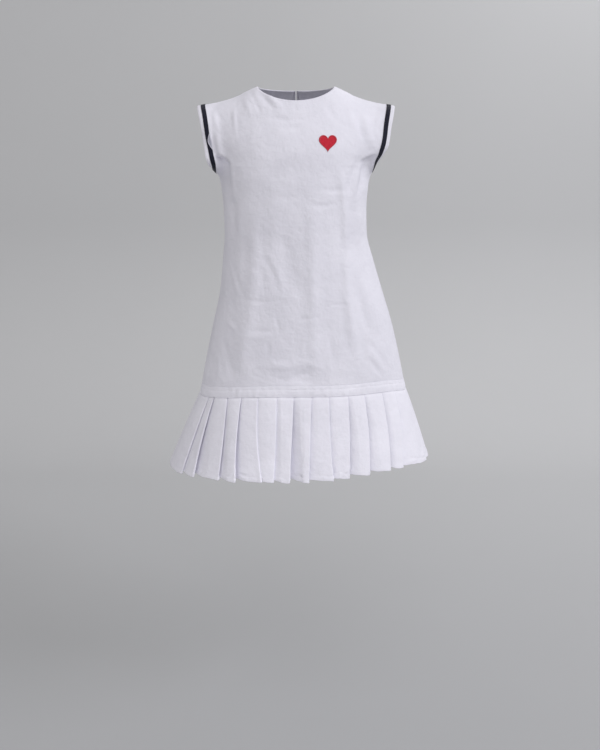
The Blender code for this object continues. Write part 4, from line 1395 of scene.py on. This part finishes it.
def ragged_hem(passed):
    """How far the hem is drawn up and pushed out by its stitches along its length."""
    return 0.9 * wander(passed, 3.0, 9.0) + 0.5 * wander(passed, 5.0, 4.0)


def pulls(passed, above):
    """Slanting wrinkles that the turned hem twists into the cloth above it."""
    slanted = passed - 0.9 * above
    waves = np.maximum(wander(slanted, 7.0, 7.5), 0) * (0.7 + 0.6 * wander(passed, 2.5, 60.0))
    return PULL_DEPTH * waves * np.exp(-((above - PULL_HEIGHT) / PULL_SPREAD) ** 2)


def flounce_sheet(rows):
    """Rows of points from the band to the hem, one column for each point of the section."""
    top_line = rounded(pleat_corners(rows, AT_BAND), AT_BAND)
    hem_line = rounded(pleat_corners(rows, AT_HEM), AT_HEM)
    tops, feet, outs, ways, lifts = [], [], [], [], []
    for upper, lower in zip(top_line, hem_line):
        station = find_at_band(upper[0])
        out = ring_out(band_foot, station)
        hem_station = find_at_hem(lower[0])
        tops.append(band_foot(station) - UP * FLOUNCE_GAP)
        feet.append(hem_foot(hem_station))
        lifts.append((out * upper[1], ring_out(hem_foot, hem_station) * lower[1]))
        outs.append(out)
        ways.append(UP.cross(out) * (upper[2] + lower[2]) / 2)
    tops, feet, outs, ways, lifts = map(np.array, (tops, feet, outs, ways, lifts))
    shares = FLOUNCE_SHARES[:, None, None]
    passed = run_along(feet)
    feet[:, 2] -= HEM_STEP * hem_line[:, 3] - ragged_hem(passed)
    points = mix(tops[None], feet[None], shares)
    points = points + mix(lifts[None, :, 0], lifts[None, :, 1], shares ** OPENING)
    points = points + outs[None] * FLOUNCE_BOW * 4 * shares * (1 - shares)
    points = points + ways[None] * np.sin(np.pi * shares)
    length = np.linalg.norm(feet - tops, axis=-1)
    above = (1 - shares[..., 0]) * length[None]
    relief = hem_relief(above, passed[None]) + pulls(passed[None], above)
    return points + outward(points) * relief[..., None]


flounces = {}
for name, rows in (("flounce_front", FRONT_PLEATS), ("flounce_back", back_pleats())):
    flounces[name] = flounce_sheet(rows)
    bm = sheet_of(flounces[name], cloth_distances(flounces[name], 0, 0))
    panels[name] = finish_piece("cloth_" + name, bm, [doubled_painted_light_cotton], "white_cotton", [name],
                                FLOUNCE_WALL, 0.0)

# %% [markdown]
# ## Navy ribbon round the armholes
# A flat ribbon, 9 mm wide, is stitched on 8 mm in from each armhole's edge. It is the simplest
# of sheets: a few rows that follow the edge round, walked inwards along the cloth, so it lies
# flat on the panels wherever they turn. On the wearer's right a small fold of the white cloth
# lies over it for about three centimetres. That fold's cloth is coloured grey-violet, partly
# as the navy seen through it and partly as painted shade of the fold.

# %% Lines round the armholes
RIBBON_INSET = 8.0
RIBBON_STEPS = 360
RIBBON_LIFT = 0.35
RIBBON_WALL = 0.5
RIBBON_ROWS = 9
WALK_STEP = 2.5
FLAP_AT = -111.0
FLAP_HALF_LENGTH = 16.0
FLAP_SINK = 2.6
FLAP_REACH = 1.4
FLAP_TAPER = 1.6
FLAP_INNER = -140
# The most that the fold's cloth is darkened: ribbon seen through it and painted shade.
FLAP_DARKENING_MOST = 0.75


def armhole_edge(side, turn):
    """A point of an armhole's edge: turn 0 is on the shoulder seam and pi at the underarm."""
    left = side == LEFT
    if turn <= math.pi:
        return cloth_point(1 - EDGE if left else EDGE - 1, turn / math.pi)
    return cloth_point(1 + EDGE if left else 3 - EDGE, 2 - turn / math.pi)


def smoothed(ring, passes):
    """Every value of a closed ring drawn towards its two neighbours."""
    for _ in range(passes):
        ring = (np.roll(ring, 1, axis=0) + 2 * ring + np.roll(ring, -1, axis=0)) / 4
    return ring


def evened(row):
    """A closed row of points, smoothed a little and spaced evenly."""
    spots = smoothed(np.array(row), 2)
    ring = np.vstack([spots, spots[:1]])
    run = run_along(ring)
    at = np.linspace(0, run[-1], len(row), endpoint=False)
    return [Vector(spot) for spot in np.stack([np.interp(at, run, ring[:, k])
                                               for k in range(3)], axis=-1)]


def armhole_row(side, distance):
    """A closed row of points on the cloth at a distance from an armhole's edge."""
    turns = np.linspace(0, 2 * math.pi, RIBBON_STEPS, endpoint=False)
    row = evened([armhole_edge(side, turn) for turn in turns])
    steps = max(1, round(distance / WALK_STEP))
    for _ in range(steps):
        row = walk_in(row, distance / steps, True, 1 if side == LEFT else -1)
        row = evened(row)
    return row


print("round an armhole:", RIBBON_STEPS, "points")


# %% Ribbons
def flap_cover(middle, across, soft):
    """How much the small fold of cloth on the wearer's right covers the ribbon, 0 to 1."""
    along = (middle[..., 2] - FLAP_AT) / FLAP_HALF_LENGTH
    shown = mix(-FLAP_REACH, RIBBON_WIDTH / 2 + 1, np.clip(np.abs(along), 0, 1) ** FLAP_TAPER)
    covered = np.clip((across - shown) / soft + 0.4, 0, 1)
    return covered * (np.abs(along) < 1) * (middle[..., 1] < 0)


def flap_sink(side, middle, across):
    return FLAP_SINK * flap_cover(middle, across, 3.5) * (side == RIGHT)


def ribbon_sheet(side):
    """Rows across a ribbon, laid on the cloth on both sides of its middle line."""
    middle = np.array(armhole_row(side, RIBBON_INSET + RIBBON_WIDTH / 2))
    outs = smoothed(np.array([facing_way(Vector(spot)) for spot in middle]), 6)
    along = np.roll(middle, -1, axis=0) - np.roll(middle, 1, axis=0)
    inward = np.cross(along, outs) * (1 if side == LEFT else -1)
    inward /= np.linalg.norm(inward, axis=-1, keepdims=True)
    distances = np.linspace(-RIBBON_WIDTH / 2, RIBBON_WIDTH / 2, RIBBON_ROWS)
    rows = []
    for d in distances:
        lifts = RIBBON_LIFT + RIBBON_WALL - flap_sink(side, middle, d)
        rows.append([lay(Vector(spot), lift) for spot, lift in zip(middle + inward * d, lifts)])
    points = np.array([row + row[:1] for row in rows])
    run = run_along(points[RIBBON_ROWS // 2])[None, :].repeat(RIBBON_ROWS, axis=0)
    across = distances[:, None].repeat(points.shape[1], axis=1)
    return points, np.stack([across, run], axis=-1)


def store_flap_darkening(panel, middle, inward):
    """Store on a panel where the small fold's cloth is darkened: partly the ribbon seen through
    its thin cloth, partly painted shade of the fold.
    """
    spots = np.array([v.co for v in panel.data.vertices]) / MM
    flap_darkening = panel.data.attributes.new("fold_ribbon_and_shade", "FLOAT", "POINT")
    values = np.zeros(len(spots))
    for i in np.nonzero(np.abs(spots[:, 2] - FLAP_AT) < FLAP_HALF_LENGTH + 5)[0]:
        if spots[i, 0] < FLAP_INNER:
            away = spots[i] - middle
            k = int(np.argmin(np.linalg.norm(away, axis=-1)))
            across = away[k] @ inward[k]
            if across < RIBBON_WIDTH / 2 + 3:
                inside = 1 - smooth_steps((across - RIBBON_WIDTH / 2 + 0.5) / 2.5)
                values[i] = FLAP_DARKENING_MOST * inside * flap_cover(middle[k], across, 2.0)
    flap_darkening.data.foreach_set("value", values)
    print(int((values > 0.1).sum()), "points show the ribbon through")


def face_outwards(bm, faces):
    """Turn a piece of the dress's front round where its faces point inwards."""
    bm.normal_update()
    if sum(face.normal.y for face in faces) > 0:
        bmesh.ops.reverse_faces(bm, faces=bm.faces)


for name, side in SIDES:
    points, cloth = ribbon_sheet(side)
    if side == RIGHT:
        middle = points[RIBBON_ROWS // 2]
        across = points[-1] - points[0]
        store_flap_darkening(panels["front"], middle,
                            across / np.linalg.norm(across, axis=-1, keepdims=True))
    bm = sheet_of(points, cloth, closed=True)
    face_outwards(bm, [face for face in bm.faces if face.calc_center_median().y < 0])
    finish_piece("trim_ribbon_" + name, bm, [navy_ribbon], "navy_ribbon",
                                 ["ribbon_" + name], RIBBON_WALL)

# %% [markdown]
# ## Heart on the chest
# A small felt heart, 36 mm wide, is sewn on the wearer's left chest with a satin stitch round
# its rim. It starts as a disc from the circle operator. Its edge is extruded out again and
# again, and every ring is moved to a smaller or larger copy of the heart, so the rings can
# carry a rounded rim and follow the chest.

# %% Heart
HEART_CENTRE = (64.0, -114.0)
HEART_HALF_WIDTH = 18.0
HEART_HEIGHT_SHIFT = 0.12
HEART_STEPS = 96
HEART_RINGS = ((0.06, 0.75), (0.3, 0.8), (0.55, 0.8), (0.75, 0.75), (0.84, 0.6), (0.86, 0.85),
               (0.89, 1.25), (0.93, 1.4), (0.97, 1.2), (1.0, 0.7), (1.005, 0.1))
RIM_FROM = 5


def heart_outline(turn):
    """A plain heart, 2 wide, centred on its own height."""
    up = (13 * math.cos(turn) - 5 * math.cos(2 * turn) - 2 * math.cos(3 * turn)
          - math.cos(4 * turn)) / 16
    return math.sin(turn) ** 3, up + HEART_HEIGHT_SHIFT


def heart_spot(turn, share, lift):
    """A point of the heart, at a share of its size and a height over the cloth."""
    across, up = heart_outline(turn)
    x = HEART_CENTRE[0] + across * share * HEART_HALF_WIDTH
    z = HEART_CENTRE[1] + up * share * HEART_HALF_WIDTH
    return lay(place(FRONT, LEFT, x, z), lift)


def make_heart():
    bm = bmesh.new()
    measured = bm.loops.layers.uv.new("cloth")
    turns = np.linspace(0, 2 * math.pi, HEART_STEPS, endpoint=False)
    ring = bmesh.ops.create_circle(bm, cap_ends=True, segments=HEART_STEPS, radius=1.0)["verts"]
    disc = bm.faces[:]
    for k, (share, lift) in enumerate(HEART_RINGS):
        if k:
            edges = [e for e in bm.edges if e.is_boundary]
            grown = bmesh.ops.extrude_edge_only(bm, edges=edges)["geom"]
            new = {v for v in grown if isinstance(v, bmesh.types.BMVert)}
            ring = [next(e.other_vert(v) for e in v.link_edges if e.other_vert(v) in new)
                    for v in ring]
        for vert, turn in zip(ring, turns):
            vert.co = heart_spot(turn, share, lift)
            vert.index = k * HEART_STEPS + round(turn / (2 * math.pi) * HEART_STEPS)
    outline = sum((heart_spot(turns[i], 1, 0) - heart_spot(turns[i - 1], 1, 0)).length
                  for i in range(HEART_STEPS))
    for face in bm.faces:
        face.material_index = int(min(v.index for v in face.verts) // HEART_STEPS >= RIM_FROM)
        steps = [v.index % HEART_STEPS for v in face.verts]
        for loop, step in zip(face.loops, steps):
            wrapped = step + HEART_STEPS if max(steps) - step > HEART_STEPS / 2 else step
            loop[measured].uv = (loop.vert.index // HEART_STEPS * 0.001,
                                 wrapped / HEART_STEPS * outline * MM)
    bmesh.ops.poke(bm, faces=[face for face in disc if face.is_valid])
    face_outwards(bm, bm.faces)
    return finish_piece("heart", bm, [red_felt, red_satin], "red_felt", ["chest_heart"])


heart = make_heart()

# %% [markdown]
# ## Stitches
# Every turned edge is held by a row of stitches, each 2.6 mm long. A stitch is a short piece
# of thread that comes up out of the cloth, lies along it and goes down again. One curve object
# with many short splines and a round bevel makes a whole row, and is then turned into a mesh.

# %% Thread drawn along lines
STITCH = 2.6
STITCH_GAP = 0.9
STITCH_SHAPE = ((0, -0.25), (0.25, 0.12), (0.75, 0.12), (1, -0.25))
THREAD_RADIUS = 0.17


def thread_mesh(name, strands, radius, rounding):
    """One mesh of round threads that follow lines of points, given in millimetres."""
    data = bpy.data.curves.new(name, "CURVE")
    data.dimensions = "3D"
    data.bevel_depth = radius * MM
    data.bevel_resolution = rounding
    data.use_fill_caps = True
    for strand in strands:
        spline = data.splines.new("POLY")
        spline.points.add(len(strand) - 1)
        for point, spot in zip(spline.points, strand):
            point.co = (*(spot * MM), 1)
    drawn = bpy.data.objects.new(name, data)
    mesh = bpy.data.meshes.new_from_object(drawn)
    mesh.name = name
    mesh.materials.clear()
    bpy.data.objects.remove(drawn)
    bpy.data.curves.remove(data)
    return mesh


def read_along(run, values, at):
    """A point, or a direction, of a line at a distance from its start."""
    return np.array([np.interp(at, run, column) for column in values.T])


def stitch_row(name, line, lift=0.0):
    """Stitches along a line of points on the cloth, each with its outward direction."""
    spots, outs = (np.array(values) for values in zip(*line))
    run = run_along(spots)
    strands = []
    at = STITCH_GAP
    while at + STITCH < run[-1]:
        strands.append([read_along(run, spots, at + share * STITCH)
                        + read_along(run, outs, at + share * STITCH) * (height + lift)
                        for share, height in STITCH_SHAPE])
        at += STITCH + STITCH_GAP
    mesh = thread_mesh(name, strands, THREAD_RADIUS, 1)
    print(len(strands), "stitches in", name)
    return add_piece(name, mesh, [white_thread], "white_thread")


def on_cloth(row, closed=False):
    """A line for stitch_row from points on the panels."""
    row = row + row[:1] if closed else row
    return [(lay(point, 0.0), facing_way(point)) for point in row]


print("a stitch is", STITCH, "mm long")


# %% Stitches of the neck and armholes
NECK_STEPS = 60
WALKS = 7
ARMHOLE_STITCH = 3.0


def stitched_neck():
    """Two rows: one beside the neck edge, and one where the facing ends."""
    row = [lay(point, 0.0) for point in neck_line(NECK_STEPS)]
    edge_row = walk_in(row, TOPSTITCH)
    facing_row = edge_row
    for _ in range(WALKS):
        facing_row = walk_in(facing_row, (NECK_FACING_DEPTH - TOPSTITCH) / WALKS)
    return edge_row, facing_row


edge_row, facing_row = stitched_neck()
stitch_row("stitch_neck", on_cloth(edge_row[2:-2]))
stitch_row("stitch_facing", on_cloth(facing_row[4:-4]))
for name, side in SIDES:
    stitch_row("stitch_armhole_" + name, on_cloth(armhole_row(side, ARMHOLE_STITCH), True))


# %% Stitches of the band and the hem
BAND_STITCHES = (("top", 2.2), ("foot", 21.8))


def outward_line(points, row):
    """A line for stitch_row from one row of a sheet."""
    return list(zip(points[row], outward(points)[row]))


def nearest_row(points, down):
    """The row of a sheet that lies nearest to a distance below its first row."""
    gone = np.linalg.norm(points - points[:1], axis=-1).mean(axis=1)
    return int(np.argmin(np.abs(gone - down)))


for name, points in bands.items():
    for label, down in BAND_STITCHES:
        line = outward_line(points, nearest_row(points, down))
        stitch_row("stitch_" + name + "_" + label, line)
for name, points in flounces.items():
    hem_row = len(points) - 1 - nearest_row(points[::-1], HEM_TURN)
    stitch_row("stitch_" + name, outward_line(points, hem_row), FLOUNCE_WALL / 2)

# %% [markdown]
# ## Button and loop
# The neck slit at the back closes with one small resin button and a thread loop. The button
# is a turned part, so its outline is spun round its own axis. The loop is two strands of
# thread twisted together, drawn as two curves that wind round one path.

# %% Button
BUTTON_X = 9.5
BUTTON_DROP = 9.0
BUTTON_OUTLINE = (
    (0.0, 0.4), (1.7, 0.4), (1.5, 1.6), (1.8, 2.7), (4.2, 2.8), (5.0, 3.1), (5.5, 3.7),
    (5.45, 4.3), (5.0, 4.8), (4.5, 4.9), (4.0, 4.7), (3.4, 4.35), (1.6, 4.25), (0.0, 4.25))
BUTTON_STEPS = 48


def neck_frame():
    """The button's seat, and the outward, sideways and upward directions there."""
    spot = place(BACK, LEFT, BUTTON_X, -NECK_BACK_DROP - BUTTON_DROP)
    seat = lay(spot, 0.0)
    out = (lay(spot, 1.0) - seat).normalized()
    side = Vector((0, 1, 0)).cross(UP)
    side = (side - out * side.dot(out)).normalized()
    return seat, out, side, out.cross(side).normalized()


def make_button():
    """Its outline is given as distances from the axis and heights over the cloth."""
    seat, out, side, _ = neck_frame()
    bm = bmesh.new()
    verts = [bm.verts.new(seat + side * radius + out * height)
             for radius, height in BUTTON_OUTLINE]
    edges = [bm.edges.new(pair) for pair in zip(verts, verts[1:])]
    bmesh.ops.spin(bm, geom=verts + edges, cent=seat, axis=out, angle=2 * math.pi,
                   steps=BUTTON_STEPS, use_merge=True)
    bmesh.ops.remove_doubles(bm, verts=bm.verts, dist=0.005)
    bmesh.ops.recalc_face_normals(bm, faces=bm.faces)
    return finish_piece("button", bm, [button_resin], "button_resin", ["neck_button"])


make_button()

# %% Loop
LOOP_BEND = 3.2
LOOP_ROOT = 4.0
LOOP_HEIGHT = 1.0
LEG_STEPS = 12
BEND_POINTS = 17
STRAND_RADIUS = 0.36
STRAND_OFFSET = 0.3
STRAND_STEPS = 6
TWIST = 0.42


def loop_path():
    """The middle of the loop, from the slit's other edge round the button's shank and back."""
    seat, out, side, rise = neck_frame()
    start = -BUTTON_X - LOOP_ROOT
    leg = [mix(start, 0, i / LEG_STEPS) for i in range(LEG_STEPS)]
    bend = np.linspace(math.pi / 2, -math.pi / 2, BEND_POINTS)
    flat = [(across, LOOP_BEND) for across in leg]
    flat += [(LOOP_BEND * math.cos(turn), LOOP_BEND * math.sin(turn)) for turn in bend]
    flat += [(across, -LOOP_BEND) for across in leg[::-1]]
    path = []
    for across, up in flat:
        level = seat + side * across + rise * up
        height = max((lay(level, 0.0) - level).dot(out), 0.0)
        path.append(level + out * (height + LOOP_HEIGHT))
    return path, out


def twisted_strand(path, out, phase):
    """A line that winds round a path, from an angle at its start."""
    strand = []
    for k in range(STRAND_STEPS * (len(path) - 1) + 1):
        i = min(k // STRAND_STEPS, len(path) - 2)
        spot = path[i].lerp(path[i + 1], k / STRAND_STEPS - i)
        aside = (path[i + 1] - path[i]).normalized().cross(out)
        turn = phase + k * TWIST
        strand.append(spot + (aside * math.cos(turn) + out * math.sin(turn)) * STRAND_OFFSET)
    return strand


path, out = loop_path()
strands = [twisted_strand(path, out, phase) for phase in (0.0, math.pi)]
add_piece("loop", thread_mesh("loop", strands, STRAND_RADIUS, 2), [white_thread],
          "white_thread", ["neck_loop"])

# %% [markdown]

# %% [markdown]
# ## Light and surroundings
# Soft daylight from the wearer's left front models the folds. A second large lamp overhead shades
# the level creases, three weak fills keep the other side and the pleats open, and one more lamp
# lights the back. Each hangs clear of the floor, because a lamp that touches it leaves a hard
# edge of light there. The floor runs up into the backdrop in one sweep, so no corner draws the
# eye. It is marked as stage, which keeps it out of the object itself.

# %% Backdrop
FLOOR = -1.48
FLOOR_FRONT = -3.5
FLOOR_HALF = 4.0
FLOOR_ENDS = -0.6
SWEEP_RADIUS = 1.0
SWEEP_STEPS = 24
WALL_AT = 2.6
WALL_RISE = 3.5
# The floor's grey darkens from the wall towards the front: painted shade for the low part round
# the dress.
PAINTED_SHADE_GREY_NEAR = (0.42, 0.425, 0.435, 1)
GREY_FAR = (0.60, 0.605, 0.612, 1)


def make_backdrop():
    plain = Finish("backdrop", Roughness=0.95, Specular_IOR_Level=0.1)
    spot = plain.object_place()
    # Painted shade: the floor is coloured darker towards the front.
    back = plain.axes(spot)[1].step(FLOOR_ENDS, WALL_AT)
    cloud = plain.noise(spot, 1.3, 2.0) * 0.12
    return plain.connect(Base_Color=plain.blend(back * 0.88 + cloud, PAINTED_SHADE_GREY_NEAR, GREY_FAR))


def only(kind, geometry):
    return [item for item in geometry if isinstance(item, kind)]


def pull_out(bm, edges, way):
    """Extrude edges along a way, and return the edges at their new place."""
    grown = bmesh.ops.extrude_edge_only(bm, edges=edges)["geom"]
    moved = only(bmesh.types.BMVert, grown)
    bmesh.ops.translate(bm, verts=moved, vec=way)
    return [e for e in only(bmesh.types.BMEdge, grown) if all(v in moved for v in e.verts)]


def sweep_mesh():
    """The floor's front edge, pulled back, turned up in a quarter of a circle and raised."""
    bm = bmesh.new()
    corners = [bm.verts.new((x, FLOOR_FRONT, FLOOR)) for x in (-FLOOR_HALF, FLOOR_HALF)]
    level = pull_out(bm, [bm.edges.new(corners)], (0, WALL_AT - SWEEP_RADIUS - FLOOR_FRONT, 0))
    centre = (0, WALL_AT - SWEEP_RADIUS, FLOOR + SWEEP_RADIUS)
    turned = bmesh.ops.spin(bm, geom=level, cent=centre, axis=(1, 0, 0), angle=math.pi / 2,
                            steps=SWEEP_STEPS)["geom_last"]
    pull_out(bm, only(bmesh.types.BMEdge, turned), (0, 0, WALL_RISE))
    bmesh.ops.recalc_face_normals(bm, faces=bm.faces)
    mesh = bpy.data.meshes.new("backdrop")
    bm.to_mesh(mesh)
    bm.free()
    mesh.materials.append(make_backdrop())
    mesh.shade_smooth()
    return mesh


backdrop = bpy.data.objects.new("backdrop", sweep_mesh())
bpy.context.scene.collection.objects.link(backdrop)
backdrop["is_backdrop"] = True
print("floor at", FLOOR, "m")

# %% Lights
Lamp = namedtuple("Lamp", "name place aim size power colour")
LAMPS = (
    Lamp("key", (4.4, -2.2, 3.0), (0, 0, -0.35), 3.0, 150, (0.95, 0.95, 1.0)),
    Lamp("overhead", (0.6, -3.4, 4.0), (0, 0, -0.6), 4.0, 62, (0.97, 0.97, 1.0)),
    Lamp("fill", (-2.5, -2.3, -0.3), (0, 0, -0.5), 2.0, 3.5, (1.0, 0.99, 0.98)),
    Lamp("low_fill", (-1.6, -2.1, -0.95), (0, 0, -0.8), 0.8, 2.2, (0.98, 0.97, 1.0)),
    Lamp("hem_fill", (0.1, -1.3, -0.95), (0, 0, -0.82), 0.5, 1.15, (0.98, 0.97, 1.0)),
    Lamp("back_fill", (1.5, 2.2, 1.5), (0, 0, -0.4), 1.6, 18, (1.0, 1.0, 1.0)))
for lamp in LAMPS:
    data = bpy.data.lights.new(lamp.name, "AREA")
    data.size = lamp.size
    data.energy = lamp.power
    data.color = lamp.colour
    light = bpy.data.objects.new(lamp.name, data)
    light.location = lamp.place
    light.visible_camera = False
    way = Vector(lamp.aim) - Vector(lamp.place)
    light.rotation_euler = way.to_track_quat("-Z", "Y").to_euler()
    bpy.context.scene.collection.objects.link(light)
print(len(LAMPS), "lamps")

# %% Sky
SKY_COLOUR = (1.0, 0.985, 0.975, 1)
SKY_STRENGTH = 0.49
world = bpy.data.worlds.new("studio")
world.use_nodes = True
sky = world.node_tree.nodes["Background"]
sky.inputs["Color"].default_value = SKY_COLOUR
sky.inputs["Strength"].default_value = SKY_STRENGTH
bpy.context.scene.world = world
bpy.context.scene.view_settings.view_transform = "Standard"
print("sky at", SKY_STRENGTH)

# %% [markdown]
# ## Sizes, then the end
# The dressed model is measured in the same way as the solids that it stands for. The dressed
# model has to stay as large as the solids that it stands for. Both boxes are printed, so they
# can be compared.

# %% Measure and finish
worn_box = [list(corner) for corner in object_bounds()]
print("solids ", [round(c, 4) for corner in SOLID_BOX for c in corner])
print("dressed", [round(c, 4) for corner in worn_box for c in corner])
